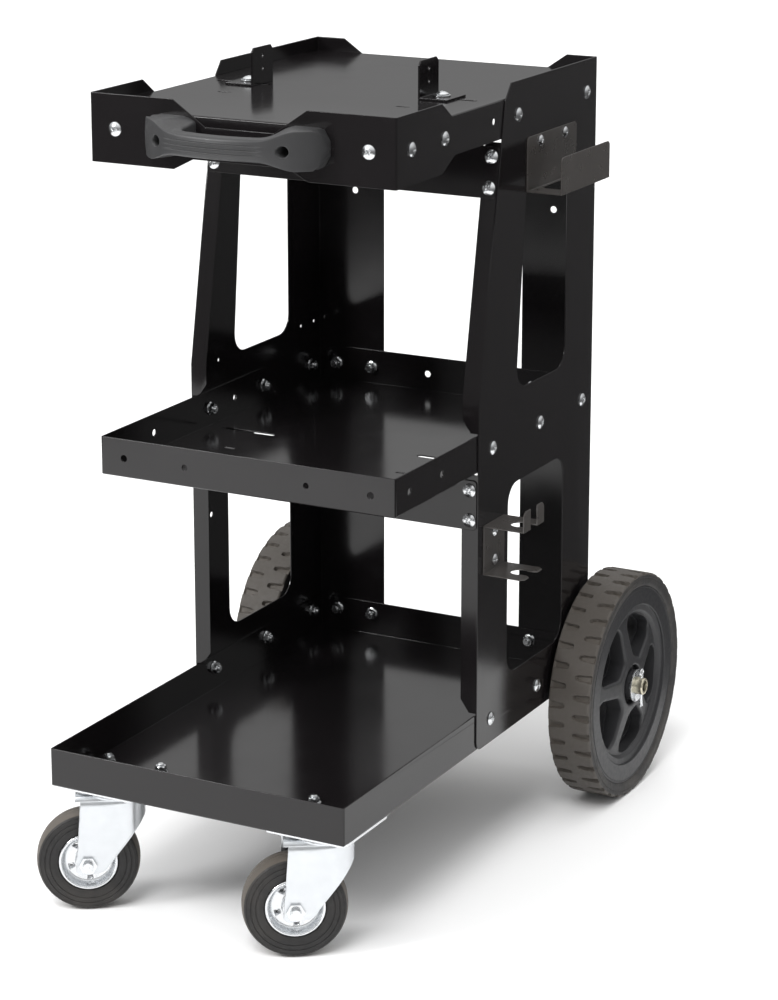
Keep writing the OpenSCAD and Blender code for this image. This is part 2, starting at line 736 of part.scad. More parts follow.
module side_panel() difference() {
    union() {
        translate([half_w, 0, 0]) along_x(sheet) panel_outline();
        low_front_flange();
        high_front_flange();
        back_flange();
    }
    translate([half_w - over, 0, 0]) along_x(sheet + 2 * over) {
        low_window();
        high_window();
    }
    tray_joints() bolt_hole(2 * sheet);
    crossbar_joints() bolt_hole(2 * sheet);
    torch_joints() small_hole(2 * sheet);
    for (back = [rear_hole_back, rear_hole_back + rear_hole_pitch,
            panel_depth - front_hole_edge - front_hole_pitch, panel_depth - front_hole_edge])
        side_site(-back, middle_tray_top + accessory_rise) drill(accessory_hole_d, sheet + over);
    back_site(flange_hole_out, flange_hole_z) drill(spare_hole_d, sheet + over);
    side_site(axle_back, axle_z) drill(axle_d + 2 * lug_play, sheet + over);
}
module right_side_panel() powder_black() in_place() difference() {
    side_panel();
    hook_joints() small_hole(2 * sheet);
}
module left_side_panel() powder_black() in_place() on_side(left) difference() {
    side_panel();
    side_site(-top_bolt_front, middle_hole_z) bolt_hole(2 * sheet);
}

// Crossbars
module crossbar() difference() {
    along_y(sheet) polygon(rounded([
        [-half_w, -crossbar_h / 2, crossbar_r], [-half_w, crossbar_h / 2, crossbar_r],
        [half_w, crossbar_h / 2, crossbar_r], [half_w, -crossbar_h / 2, crossbar_r]
    ]));
    bar_sites() bolt_hole(2 * sheet);
}
module upper_crossbar() powder_black() in_place() at_upper_bar() crossbar();
module middle_crossbar() powder_black() in_place() at_middle_bar() crossbar();

// Front guard: a strip folded round the front of the top tray
guard_half = guard_h / 2;
guard_front_y = -short_tray_len - sheet;
guard_end_y = guard_front_y + guard_ear;
module guard_face() polygon(concat(guard_face_half(), mirrored(guard_face_half())));
function guard_face_half() = [
    [notch_low_in, -notch_low], [notch_out, -guard_half], [panel_x - fold_r, -guard_half],
    [panel_x - fold_r, guard_half], [notch_out, guard_half], [notch_top_in, notch_top]
];
module guard_ear_face() polygon([
    [guard_front_y + fold_r, -guard_half],
    [guard_end_y - ear_slope, -guard_half],
    [guard_end_y, -guard_half + ear_drop_low],
    [guard_end_y, guard_half - ear_drop_top],
    [guard_end_y - ear_slope, guard_half],
    [guard_front_y + fold_r, guard_half]
]);
module front_guard() powder_black() in_place() difference() {
    translate([0, 0, top_hole_z]) {
        translate([0, guard_front_y + sheet, 0]) along_y(sheet) guard_face();
        both_sides() {
            translate([half_w, 0, 0]) along_x(sheet) guard_ear_face();
            translate([panel_x - fold_r, guard_front_y + fold_r, -guard_half]) intersection() {
                difference() {
                    cylinder(r = fold_r, h = guard_h);
                    translate([0, 0, -over]) cylinder(r = fold_r - sheet, h = guard_h + 2 * over);
                }
                translate([0, -fold_r, 0]) cube([fold_r, fold_r, guard_h]);
            }
        }
    }
    guard_joints() bolt_hole(2 * sheet);
    handle_joints() drill(handle_screw_d + 2 * hole_play, sheet + over);
}

// Handle: a bow whose plan is an ellipse and whose ends flare into tall rounded pads
handle_half = handle_len / 2;
pad_end_r = handle_pad_h * 0.55;
pad_tip = sqrt(pad_end_r * pad_end_r - handle_pad_h * handle_pad_h / 4);
function bow(a, b) = [for (i = [0:curve_steps]) [a * cos(180 * i / curve_steps), b * sin(180 * i / curve_steps)]];
// Inner edge of the grip: straight along the middle, turned into both posts
grip_back = handle_reach - grip_depth;
module handle_plan() difference() {
    polygon(bow(handle_half, handle_reach));
    polygon(rounded([
        [-finger_half, -over, 0], [-finger_half, grip_back, grip_back * 0.45],
        [finger_half, grip_back, grip_back * 0.45], [finger_half, -over, 0]
    ]));
}
// Half height of the handle along its length: eased from the grip to the pads
function flare(x) = x < grip_half ? grip_h / 2 : x > pad_start ? handle_pad_h / 2
    : grip_h / 2 + (handle_pad_h - grip_h) / 4 * (1 - cos(180 * (x - grip_half) / (pad_start - grip_half)));
function handle_top() = [
    for (i = [0:curve_steps]) let (x = pad_start * i / curve_steps) [x, flare(x)],
    for (i = [0:corner_steps]) let (a = asin(handle_pad_h / 2 / pad_end_r) * (1 - i / corner_steps))
        [handle_half - pad_end_r + pad_end_r * cos(a), pad_end_r * sin(a)]
];
module handle_face() {
    top = handle_top();
    polygon(concat(top, [for (i = [len(top) - 1:-1:0]) [top[i].x, -top[i].y]],
        [for (p = top) [-p.x, -p.y]], [for (i = [len(top) - 1:-1:0]) [-top[i].x, top[i].y]]));
}
module handle() color([0.25, 0.26, 0.28]) in_place() translate([0, guard_front_y - rest_gap, top_hole_z])
difference() {
    intersection() {
        translate([0, 0, -handle_pad_h / 2]) mirror([0, 1, 0]) linear_extrude(handle_pad_h) handle_plan();
        translate([0, over, 0]) along_y(handle_reach + 2 * over) handle_face();
    }
    both_sides() translate([handle_pitch / 2, 0, 0]) rotate([90, 0, 0]) {
        translate([0, 0, -over]) cylinder(d = handle_screw_d + 2 * hole_play, h = handle_reach);
        translate([0, 0, handle_floor]) cylinder(d = handle_bore_d, h = handle_reach);
    }
}
handle_head_d = 2 * handle_screw_d;
handle_head_h = handle_screw_d * 0.6;
handle_grip = handle_floor + rest_gap + 2 * sheet;
module handle_screws() zinc() in_place() handle_joints() translate([0, 0, handle_floor + rest_gap])
    button_bolt(handle_screw_d, handle_head_d, handle_head_h, handle_head_h * 0.3,
        handle_grip + small_nut_h + thread_end);
module handle_nuts() zinc() in_place() handle_joints() translate([0, 0, -2 * sheet]) mirror([0, 0, 1])
difference() {
    hex(small_af, small_nut_h);
    translate([0, 0, -over]) cylinder(d = handle_screw_d + 2 * thread_play, h = small_nut_h + 2 * over);
}

// Frame fasteners
module tray_bolts() zinc() in_place() tray_joints() frame_bolt(2 * sheet);
module tray_nuts() zinc() in_place() tray_joints() frame_nut(2 * sheet);
module crossbar_bolts() zinc() in_place() crossbar_joints() frame_bolt(2 * sheet);
module crossbar_nuts() zinc() in_place() crossbar_joints() frame_nut(2 * sheet);
module guard_bolts() zinc() in_place() guard_joints() frame_bolt(2 * sheet);
module guard_nuts() zinc() in_place() guard_joints() frame_nut(2 * sheet);
module accessory_screws() zinc() in_place() translate([sheet, 0, 0]) accessory_joints() small_screw(2 * sheet);
module accessory_nuts() zinc() in_place() accessory_joints() small_nut(sheet);

// Cable hook: a channel with a tall back plate and an opening in its base
module hook_plate(h) polygon(rounded([
    [-hook_len / 2, 0, 0], [-hook_len / 2, h, hook_r], [hook_len / 2, h, hook_r], [hook_len / 2, 0, 0]
]));
module cable_hook() powder_black() in_place() difference() {
    translate([panel_x, hook_mid, hook_top - hook_h]) {
        along_x(sheet) hook_plate(hook_h);
        translate([hook_reach - sheet, 0, 0]) along_x(sheet) hook_plate(hook_lip);
        difference() {
            translate([0, -hook_len / 2, 0]) cube([hook_reach, hook_len, sheet]);
            translate([0, 0, -over]) linear_extrude(sheet + 2 * over) polygon([
                [hook_reach - hook_web, -hook_len / 2 + hook_bridge],
                [hook_reach - hook_web, hook_len / 2 - hook_bridge],
                [hook_web + hook_chamfer, hook_len / 2 - hook_bridge],
                [hook_web, hook_len / 2 - hook_bridge - hook_chamfer],
                [hook_web, -hook_len / 2 + hook_bridge + hook_chamfer],
                [hook_web + hook_chamfer, -hook_len / 2 + hook_bridge]
            ]);
        }
    }
    translate([sheet, 0, 0]) accessory_joints() small_hole(2 * sheet);
}

// Torch holder: two forks one above the other, the upper with tabs turned up at its tips
module fork_plan(pointed) difference() {
    polygon([
        [0, -torch_w / 2],
        [torch_reach - (pointed ? torch_corner : 0), -torch_w / 2],
        [torch_reach, -torch_w / 2 + (pointed ? torch_corner : 0)],
        [torch_reach, torch_w / 2 - (pointed ? torch_corner : 0)],
        [torch_reach - (pointed ? torch_corner : 0), torch_w / 2],
        [0, torch_w / 2]
    ]);
    translate([torch_seat_out, 0]) circle(d = torch_seat_d);
    translate([torch_seat_out, -torch_mouth / 2]) square([torch_reach, torch_mouth]);
    if (pointed) polygon([
        [torch_reach - torch_corner, -torch_mouth / 2], [torch_reach + over, -torch_mouth / 2 - torch_corner],
        [torch_reach + over, torch_mouth / 2 + torch_corner], [torch_reach - torch_corner, torch_mouth / 2]
    ]);
}
module tab_face() difference() {
    polygon([
        [-torch_w / 2, 0], [torch_w / 2, 0], [torch_w / 2, torch_tab - torch_corner],
        [torch_w / 2 - torch_corner, torch_tab], [-torch_w / 2 + torch_corner, torch_tab],
        [-torch_w / 2, torch_tab - torch_corner]
    ]);
    translate([-torch_mouth / 2, -over]) square([torch_mouth, torch_tab + 2 * over]);
}
module torch_holder() powder_black() in_place() difference() {
    translate([panel_x, torch_mid, torch_top]) {
        translate([0, -torch_w / 2, -torch_h]) cube([sheet, torch_w, torch_h]);
        translate([0, 0, -sheet]) linear_extrude(sheet) fork_plan(false);
        translate([0, 0, -torch_h]) linear_extrude(sheet) fork_plan(true);
        translate([torch_reach - sheet, 0, -sheet]) along_x(sheet) tab_face();
    }
    translate([sheet, 0, 0]) accessory_joints() small_hole(2 * sheet);
}

// Stops: angle brackets that slide along the slots of the top tray
stop_screw_out = stop_foot / 2;
stop_washer_t = stop_sheet * 0.75;
stop_stack = rest_gap + stop_sheet + rest_gap + stop_washer_t;
module at_stop(side, out) in_place() on_side(side) translate([out, -stop_slot_back, top_flat_z + rest_gap])
    children();
module stop_bracket() difference() {
    union() {
        translate([-stop_screw_out, -stop_w / 2, 0]) cube([stop_foot, stop_w, stop_sheet]);
        translate([-stop_screw_out, 0, 0]) along_x(stop_sheet) polygon([
            [-stop_w / 2, 0], [stop_w / 2, 0], [stop_w / 2, stop_h - stop_corner],
            [stop_w / 2 - stop_corner, stop_h], [-stop_w / 2 + stop_corner, stop_h],
            [-stop_w / 2, stop_h - stop_corner]
        ]);
    }
    translate([0, 0, -over]) cylinder(d = bolt_d + 2 * hole_play, h = stop_sheet + 2 * over);
    for (drop = [stop_hole_drop, stop_hole_drop + stop_hole_pitch])
        translate([-stop_screw_out - over, 0, stop_h - drop]) rotate([0, 90, 0])
            cylinder(d = stop_hole_d, h = stop_sheet + 2 * over);
}
module stop_washer() translate([0, 0, stop_sheet + rest_gap]) difference() {
    cylinder(d = stop_washer_d, h = stop_washer_t);
    translate([0, 0, -over]) cylinder(d = bolt_d + 2 * hole_play, h = stop_washer_t + 2 * over);
}
stop_grip = stop_stack + sheet + rest_gap;
module stop_screw() translate([0, 0, stop_stack]) frame_bolt(stop_grip);
module stop_nut() translate([0, 0, stop_stack]) frame_nut(stop_grip + rest_gap);
module left_stop_bracket() powder_black() at_stop(left, left_stop_out) stop_bracket();
module left_stop_screw() zinc() at_stop(left, left_stop_out) stop_screw();
module left_stop_washer() zinc() at_stop(left, left_stop_out) stop_washer();
module left_stop_nut() zinc() at_stop(left, left_stop_out) stop_nut();
module right_stop_bracket() powder_black() at_stop(right, right_stop_out) stop_bracket();
module right_stop_screw() zinc() at_stop(right, right_stop_out) stop_screw();
module right_stop_washer() zinc() at_stop(right, right_stop_out) stop_washer();
module right_stop_nut() zinc() at_stop(right, right_stop_out) stop_nut();

// Rear axle
module at_axle(x) translate([x, axle_back, axle_z]) rotate([0, 90, 0]) children();
split_hole_d = split_pin_d + 2 * hole_play;
axle_bevel = axle_d * 0.06;
module rear_axle() color([0.55, 0.56, 0.58]) in_place() difference() {
    at_axle(-axle_half) {
        translate([0, 0, axle_bevel]) cylinder(d = axle_d, h = 2 * (axle_half - axle_bevel));
        cylinder(d1 = axle_d - 2 * axle_bevel, d2 = axle_d, h = axle_bevel);
        translate([0, 0, 2 * axle_half - axle_bevel])
            cylinder(d1 = axle_d, d2 = axle_d - 2 * axle_bevel, h = axle_bevel);
    }
    at_axle(-axle_half) translate([0, 0, -over]) cylinder(d = axle_bore_d, h = 2 * (axle_half + over));
    both_sides() translate([split_pin_x, axle_back, axle_z - axle_d]) cylinder(d = split_hole_d, h = 2 * axle_d);
}
module axle_washer() difference() {
    cylinder(d = axle_washer_d, h = axle_washer_t);
    translate([0, 0, -over]) cylinder(d = axle_d + 2 * lug_play, h = axle_washer_t + 2 * over);
}
module axle_washers() zinc() in_place() both_sides() for (x = [washer_in_x, washer_out_x]) at_axle(x) axle_washer();
// A split pin: an eye above the axle and two legs spread below it
module split_pins() zinc() in_place() both_sides() translate([split_pin_x, axle_back, axle_z]) {
    top = axle_d / 2 + split_pin_d / 2;
    translate([0, 0, top - split_pin_len]) cylinder(d = split_pin_d, h = split_pin_len + split_pin_d / 2);
    translate([0, 0, top + split_eye_d / 2]) rotate([0, 90, 0]) rotate_extrude()
        translate([(split_eye_d - split_pin_d) / 2, 0]) circle(d = split_pin_d);
    for (turn = [-split_spread, split_spread]) translate([0, 0, -axle_d / 2 - split_pin_d])
        rotate([turn, 0, 0]) mirror([0, 0, 1]) cylinder(d = split_pin_d * 0.8, h = split_pin_len - axle_d);
}

// Rear wheels, drawn round the axle with the middle of the tyre at local z = 0
wheel_r = wheel_d / 2;
tyre_in_r = wheel_r - tyre_depth;
module tread_row(turn) {
    pitch = 360 / tread_count;
    cut = pitch * groove_share;
    tip = wheel_r + tread_depth / 2;
    valley = wheel_r - tread_depth;
    rotate([0, 0, turn]) linear_extrude(tyre_w / 2) polygon([
        for (i = [0:tread_count - 1], q = [[0, valley], [0, tip], [pitch - cut, tip], [pitch - cut, valley]])
            q[1] * [cos(i * pitch + q[0]), sin(i * pitch + q[0])]
    ]);
}
module tyre_section(top) polygon([
    [tyre_in_r, -tyre_w / 2 + shoulder / 2], [tyre_in_r + shoulder / 2, -tyre_w / 2],
    [min(top, wheel_r - shoulder), -tyre_w / 2],
    [top, -tyre_w / 2 + max(0, top - wheel_r + shoulder) * 0.8],
    [top, tyre_w / 2 - max(0, top - wheel_r + shoulder) * 0.8],
    [min(top, wheel_r - shoulder), tyre_w / 2],
    [tyre_in_r + shoulder / 2, tyre_w / 2], [tyre_in_r, tyre_w / 2 - shoulder / 2]
]);
module wheel_tyre() {
    intersection() {
        rotate_extrude($fn = 144) tyre_section(wheel_r);
        union() {
            difference() {
                union() {
                    tread_row(0);
                    mirror([0, 0, 1]) tread_row(180 / tread_count);
                }
                cylinder(r = wheel_r - tread_depth - over, h = 2 * tyre_w, center = true);
            }
            cylinder(r = wheel_r + over, h = tread_rib, center = true);
            cylinder(r = wheel_r - tread_depth, h = 2 * tyre_w, center = true);
        }
    }
}
// Section of the hub: rim, stepped band, spoke disc, boss and bearing tube
module hub_section() {
    band_r = tyre_in_r - rim_band;
    disc_r = band_r - step_band;
    step_x = rim_w / 2 - step_drop;
    boss_x = tyre_w / 2 - core_lip;
    pocket_x = boss_x - core_pocket;
    half = [
        [0, hub_len / 2], [core_d / 2, hub_len / 2], [core_d / 2, pocket_x],
        [boss_d / 2 - core_lip * 2, pocket_x], [boss_d / 2 - core_lip * 2, spoke_t / 2 + core_lip],
        [boss_d / 2, spoke_t / 2 + core_lip], [boss_d / 2 + core_lip, spoke_t / 2],
        [disc_r, spoke_t / 2], [disc_r + step_drop, step_x], [band_r, step_x],
        [band_r, rim_w / 2], [tyre_in_r, rim_w / 2]
    ];
    polygon(concat(half, [for (i = [len(half) - 1:-1:0]) [half[i].x, -half[i].y]]));
}
// One opening between two spokes: narrow at the boss, wide at the rim
module spoke_opening() {
    outer = tyre_in_r - rim_band - step_band;
    half = 180 / spoke_count;
    tip_r = spoke_r * 0.75;
    side_x = outer * 0.88;
    side_y = side_x * tan(half) - spoke_w / 2 / cos(half);
    polygon(rounded([
        [opening_in, -tip_r, tip_r * 0.95],
        [side_x, -side_y, spoke_r],
        [outer * 0.975, -outer * 0.16, spoke_r * 2],
        [outer * 0.975, outer * 0.16, spoke_r * 2],
        [side_x, side_y, spoke_r],
        [opening_in, tip_r, tip_r * 0.95]
    ]));
}
module wheel_hub() difference() {
    rotate_extrude($fn = 96) hub_section();
    for (i = [0:spoke_count - 1]) rotate([0, 0, wheel_turn + 360 * i / spoke_count])
        translate([0, 0, -rim_w]) linear_extrude(2 * rim_w) spoke_opening();
    translate([0, 0, -tyre_w]) cylinder(d = axle_d + 2 * running_play, h = 2 * tyre_w);
}
module at_wheel(side) in_place() on_side(side) at_axle(wheel_mid_x) children();
module left_wheel_tyre() color([0.22, 0.22, 0.23]) at_wheel(left) wheel_tyre();
module right_wheel_tyre() color([0.22, 0.22, 0.23]) at_wheel(right) wheel_tyre();
module left_wheel_hub() color([0.16, 0.16, 0.17]) at_wheel(left) wheel_hub();
module right_wheel_hub() color([0.16, 0.16, 0.17]) at_wheel(right) wheel_hub();

// Casters: local +X is the direction of trail, the kingpin is at x = y = 0
module at_caster(side) in_place() translate([side * caster_out, caster_y, 0]) children();
module turned(side) at_caster(side) rotate([0, 0, caster_heading]) children();
module plate_holes() for (x = [-plate_pitch / 2, plate_pitch / 2], y = [-plate_pitch / 2, plate_pitch / 2])
    translate([x, y, 0]) children();
// Sites on the floor of the bottom tray, +Z down out of the caster's plate
module caster_bolt_sites() for (side = [right, left]) translate([side * caster_out, caster_y, 0])
    plate_holes() translate([0, 0, plate_under]) mirror([0, 0, 1]) children();
module caster_bolts() zinc() in_place() caster_bolt_sites() {
    hex(nut_af, nut_h - nut_flange_h);
    cylinder(d = nut_flange_d, h = nut_flange_h);
    mirror([0, 0, 1]) cylinder(d = bolt_d, h = plate_t + sheet + nut_h + thread_end);
}
module caster_nuts() zinc() in_place() caster_bolt_sites() frame_nut(plate_t + sheet);
module track() rotate_extrude() translate([ball_ring_r, 0]) circle(r = ball_d / 2 + ball_play);
module caster_plate() difference() {
    translate([0, 0, plate_under]) linear_extrude(plate_t) polygon(rounded([
        [-plate_side / 2, -plate_side / 2, plate_r], [plate_side / 2, -plate_side / 2, plate_r],
        [plate_side / 2, plate_side / 2, plate_r], [-plate_side / 2, plate_side / 2, plate_r]
    ]));
    plate_holes() translate([0, 0, plate_under - over])
        cylinder(d = bolt_d + 2 * hole_play, h = plate_t + 2 * over);
    translate([0, 0, plate_under - over]) cylinder(d = kingpin_d + 2 * thread_play, h = plate_t + 2 * over);
    translate([0, 0, ball_z]) track();
}
kingpin_play = running_play;
kingpin_seat = crown_under - side_play;
module caster_kingpin() {
    translate([0, 0, kingpin_seat]) cylinder(d = kingpin_d, h = caster_h - kingpin_seat);
    translate([0, 0, kingpin_seat - kingpin_head_h])
        cylinder(d1 = kingpin_head_d * 0.7, d2 = kingpin_head_d, h = kingpin_head_h);
}
// Race cup: a pressed ring on the crown that keeps the balls in
module caster_cup() translate([0, 0, crown_top + rest_gap]) {
    cup_h = plate_under - crown_top - 2 * side_play;
    difference() {
        cylinder(r = cup_r, h = cup_h);
        translate([0, 0, cup_t]) cylinder(r = cup_r - cup_t, h = cup_h);
        translate([0, 0, -over]) cylinder(r = ball_ring_r + ball_d / 2, h = cup_h);
    }
}
module caster_balls() for (i = [0:ball_count - 1]) rotate([0, 0, 360 * i / ball_count])
    translate([ball_ring_r, 0, ball_z]) sphere(d = ball_d);
// Side view of a leg: full width at the crown, drawn in to a round tip at the axle
leg_front = caster_trail + fork_front;
module leg_outline() {
    polygon(rounded([
        [-fork_rear, crown_top, 0],
        [-fork_rear, crown_under - fork_t, 3 * fork_t],
        [caster_trail - fork_tip_r - fork_front / 2, caster_axle_z + fork_tip_r / 2, fork_tip_r],
        [caster_trail - fork_tip_r * 0.8, caster_axle_z - fork_tip_r / 2, 0],
        [caster_trail + fork_tip_r * 0.9, caster_axle_z - fork_tip_r / 3, 0],
        [leg_front + fork_t, caster_axle_z + fork_tip_r / 2, 0],
        [leg_front, crown_top, 0]
    ]));
    translate([caster_trail, caster_axle_z]) circle(r = fork_tip_r);
}
module fork_section() {
    difference() {
        translate([-fork_half, 0]) square([2 * fork_half, crown_top - fork_fold_r]);
        translate([-fork_gap / 2, -over]) square([fork_gap, crown_top]);
    }
    difference() {
        union() {
            translate([-fork_half + fork_fold_r, crown_top - fork_fold_r])
                square([2 * (fork_half - fork_fold_r), fork_fold_r]);
            for (y = [-fork_half + fork_fold_r, fork_half - fork_fold_r])
                translate([y, crown_top - fork_fold_r]) circle(r = fork_fold_r);
        }
        translate([-fork_gap / 2, 0]) square([fork_gap, crown_under - fork_fold_r + fork_t]);
        translate([-fork_half + fork_fold_r, 0]) square([2 * (fork_half - fork_fold_r), crown_under]);
        for (y = [-fork_half + fork_fold_r, fork_half - fork_fold_r])
            translate([y, crown_top - fork_fold_r]) circle(r = fork_fold_r - fork_t);
    }
}
module caster_fork() difference() {
    union() {
        intersection() {
            translate([-fork_rear - over, 0, 0]) along_x(fork_rear + leg_front + fork_t + 2 * over) fork_section();
            translate([0, 2 * fork_half, 0]) along_y(4 * fork_half) leg_outline();
        }
        translate([0, 0, crown_under]) cylinder(r = crown_r, h = fork_t);
    }
    translate([0, 0, crown_under - over]) cylinder(d = kingpin_d + 2 * kingpin_play, h = fork_t + 2 * over);
    translate([0, 0, ball_z]) track();
    translate([caster_trail, 2 * fork_half, caster_axle_z]) rotate([90, 0, 0])
        cylinder(d = caster_axle_d + 2 * hole_play, h = 4 * fork_half);
}
// Pieces on the caster's axle, drawn with the axle along local Z
module on_caster_axle() translate([caster_trail, 0, caster_axle_z]) rotate([-90, 0, 0]) children();
module caster_axle() on_caster_axle() {
    translate([0, 0, -fork_half - caster_nut_h]) hex(caster_af, caster_nut_h - rest_gap);
    translate([0, 0, -fork_half - over]) cylinder(d = caster_axle_d, h = 2 * fork_half + caster_nut_h + thread_end);
}
module caster_axle_nut() on_caster_axle() translate([0, 0, fork_half + rest_gap]) difference() {
    hex(caster_af, caster_nut_h - 2 * thread_end);
    translate([0, 0, -over]) cylinder(d = caster_axle_d + 2 * thread_play, h = caster_nut_h + over);
}
module caster_sleeve() on_caster_axle() difference() {
    cylinder(d = sleeve_d, h = fork_gap - 2 * rest_gap, center = true);
    cylinder(d = caster_axle_d + 2 * hole_play, h = fork_gap + over, center = true);
}
caster_hub_len = fork_gap - 4 * side_play;
module rim_half() polygon([
    [caster_hub_d / 2 - caster_rim_t, caster_rim_t / 2],
    [caster_hub_d / 2, caster_rim_t], [caster_bead_r - 3 * caster_rim_t, caster_tyre_w / 4],
    [caster_bead_r - caster_rim_t, caster_tyre_w / 2 - caster_rim_t],
    [caster_bead_r, caster_tyre_w / 2 - caster_rim_t],
    [caster_bead_r + caster_rim_t / 2, caster_tyre_w / 4],
    [caster_rim_r, caster_tyre_w / 5], [caster_rim_r, 0], [caster_hub_d / 2 - caster_rim_t, 0]
]);
module caster_rim() on_caster_axle() difference() {
    union() {
        rotate_extrude() {
            rim_half();
            mirror([0, 1, 0]) rim_half();
        }
        cylinder(d = caster_hub_d, h = caster_hub_len, center = true);
    }
    cylinder(d = sleeve_d + 2 * running_play, h = fork_gap + 2 * over, center = true);
    for (i = [0:rim_hole_count - 1]) rotate([0, 0, 360 * i / rim_hole_count])
        translate([(caster_hub_d / 2 + caster_bead_r) / 2, 0, 0])
            cylinder(d = rim_hole_d, h = caster_tyre_w + 2 * over, center = true);
}
caster_wheel_r = caster_wheel_d / 2;
function tyre_half() = [
    [caster_rim_r + rest_gap, caster_tyre_w / 5],
    [caster_bead_r + caster_rim_t / 2 + rest_gap, caster_tyre_w / 4 + rest_gap],
    [caster_bead_r + rest_gap, caster_tyre_w / 2 - caster_rim_t],
    [caster_bead_r + caster_rim_t, caster_tyre_w / 2 - caster_rim_t / 2],
    [caster_wheel_r - 2 * tyre_round, caster_tyre_w / 2],
    for (i = [0:corner_steps]) let (a = 90 - 90 * i / corner_steps)
        [caster_wheel_r - tyre_round + tyre_round * cos(a), caster_tyre_w / 2 - tyre_round + tyre_round * sin(a)]
];
module caster_tyre() on_caster_axle() rotate_extrude($fn = 72)
    polygon(concat(tyre_half(), [for (i = [len(tyre_half()) - 1:-1:0]) [tyre_half()[i].x, -tyre_half()[i].y]]));
module left_caster_plate() zinc() at_caster(left) caster_plate();
module left_caster_kingpin() zinc() at_caster(left) caster_kingpin();
module left_caster_cup() zinc() turned(left) caster_cup();
module left_caster_balls() color([0.6, 0.6, 0.62]) at_caster(left) caster_balls();
module left_caster_fork() zinc() turned(left) caster_fork();
module left_caster_axle() zinc() turned(left) caster_axle();
module left_caster_axle_nut() zinc() turned(left) caster_axle_nut();
module left_caster_sleeve() zinc() turned(left) caster_sleeve();
module left_caster_rim() zinc() turned(left) caster_rim();
module left_caster_tyre() color([0.08, 0.08, 0.08]) turned(left) caster_tyre();
module right_caster_plate() zinc() at_caster(right) caster_plate();
module right_caster_kingpin() zinc() at_caster(right) caster_kingpin();
module right_caster_cup() zinc() turned(right) caster_cup();
module right_caster_balls() color([0.6, 0.6, 0.62]) at_caster(right) caster_balls();
module right_caster_fork() zinc() turned(right) caster_fork();
module right_caster_axle() zinc() turned(right) caster_axle();
module right_caster_axle_nut() zinc() turned(right) caster_axle_nut();
module right_caster_sleeve() zinc() turned(right) caster_sleeve();
module right_caster_rim() zinc() turned(right) caster_rim();
module right_caster_tyre() color([0.08, 0.08, 0.08]) turned(right) caster_tyre();

bottom_tray();
middle_tray();
top_tray();
left_side_panel();
right_side_panel();
upper_crossbar();
middle_crossbar();
front_guard();
handle();
cable_hook();
torch_holder();
tray_bolts();
tray_nuts();
crossbar_bolts();
crossbar_nuts();
guard_bolts();
guard_nuts();
handle_screws();
handle_nuts();
accessory_screws();
accessory_nuts();
left_stop_bracket();
left_stop_screw();
left_stop_washer();
left_stop_nut();
right_stop_bracket();
right_stop_screw();
right_stop_washer();
right_stop_nut();
rear_axle();
axle_washers();
split_pins();
left_wheel_hub();
left_wheel_tyre();
right_wheel_hub();
right_wheel_tyre();
caster_bolts();
caster_nuts();
left_caster_plate();
left_caster_kingpin();
left_caster_cup();
left_caster_balls();
left_caster_fork();
left_caster_axle();
left_caster_axle_nut();
left_caster_sleeve();
left_caster_rim();
left_caster_tyre();
right_caster_plate();
right_caster_kingpin();
right_caster_cup();
right_caster_balls();
right_caster_fork();
right_caster_axle();
right_caster_axle_nut();
right_caster_sleeve();
right_caster_rim();
right_caster_tyre();
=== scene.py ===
"""Welding cart of folded black sheet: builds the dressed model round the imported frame, with its studio."""
import math

import bmesh
import bpy
from bpy.props import FloatProperty, FloatVectorProperty, IntProperty, PointerProperty
from mathutils import Matrix, Vector


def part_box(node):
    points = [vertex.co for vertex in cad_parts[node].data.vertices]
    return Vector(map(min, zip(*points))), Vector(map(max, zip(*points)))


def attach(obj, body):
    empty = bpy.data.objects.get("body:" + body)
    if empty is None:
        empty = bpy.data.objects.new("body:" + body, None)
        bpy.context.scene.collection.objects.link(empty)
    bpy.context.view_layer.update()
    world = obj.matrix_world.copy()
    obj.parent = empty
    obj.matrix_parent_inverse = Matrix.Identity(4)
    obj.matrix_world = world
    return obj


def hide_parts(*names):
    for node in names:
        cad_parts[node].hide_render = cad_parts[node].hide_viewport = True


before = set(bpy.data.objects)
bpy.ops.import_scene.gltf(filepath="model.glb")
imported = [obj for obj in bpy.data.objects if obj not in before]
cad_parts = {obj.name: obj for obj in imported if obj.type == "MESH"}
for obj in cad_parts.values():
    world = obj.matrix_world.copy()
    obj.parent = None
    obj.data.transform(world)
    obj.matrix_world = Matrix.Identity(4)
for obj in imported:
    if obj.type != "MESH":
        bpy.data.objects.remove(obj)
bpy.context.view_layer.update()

bl_info = {
    "name": "Welding cart",
    "version": (1, 0, 0),
    "blender": (4, 5, 0),
    "location": "3D View > Sidebar > Cart",
    "description": "Builds a welding cart of folded sheet with spoked rear wheels and swivel casters",
    "category": "Object",
}

MM = 0.001
# The trays' back face: places are counted from it, so those in front of it have a negative y
BACK_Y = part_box("bottom_tray")[1].y
SIDES = {"left": -1, "right": 1}


def hexa(code):
    """Linear colour of an sRGB hex value."""
    parts = [int(code[i:i + 2], 16) / 255 for i in (1, 3, 5)]
    return tuple(c / 12.92 if c <= 0.04045 else ((c + 0.055) / 1.055) ** 2.4 for c in parts)


def place(x, y, z):
    """A place in the scene from millimetres, y counted from the back of the trays."""
    return Vector((x * MM, y * MM + BACK_Y, z * MM))


def size(name, text, default):
    """A length that the user can set."""
    return FloatProperty(name=name, description=text, default=default, min=0, max=1, unit="LENGTH")


def angle(name, text, degrees):
    """An angle that the user can set."""
    return FloatProperty(name=name, description=text, default=math.radians(degrees), subtype="ANGLE")


def tint(name, text, code):
    """A colour that the user can set, given as an sRGB hex value."""
    return FloatVectorProperty(
        name=name, description=text, default=hexa(code), size=3, min=0, max=1, subtype="COLOR")


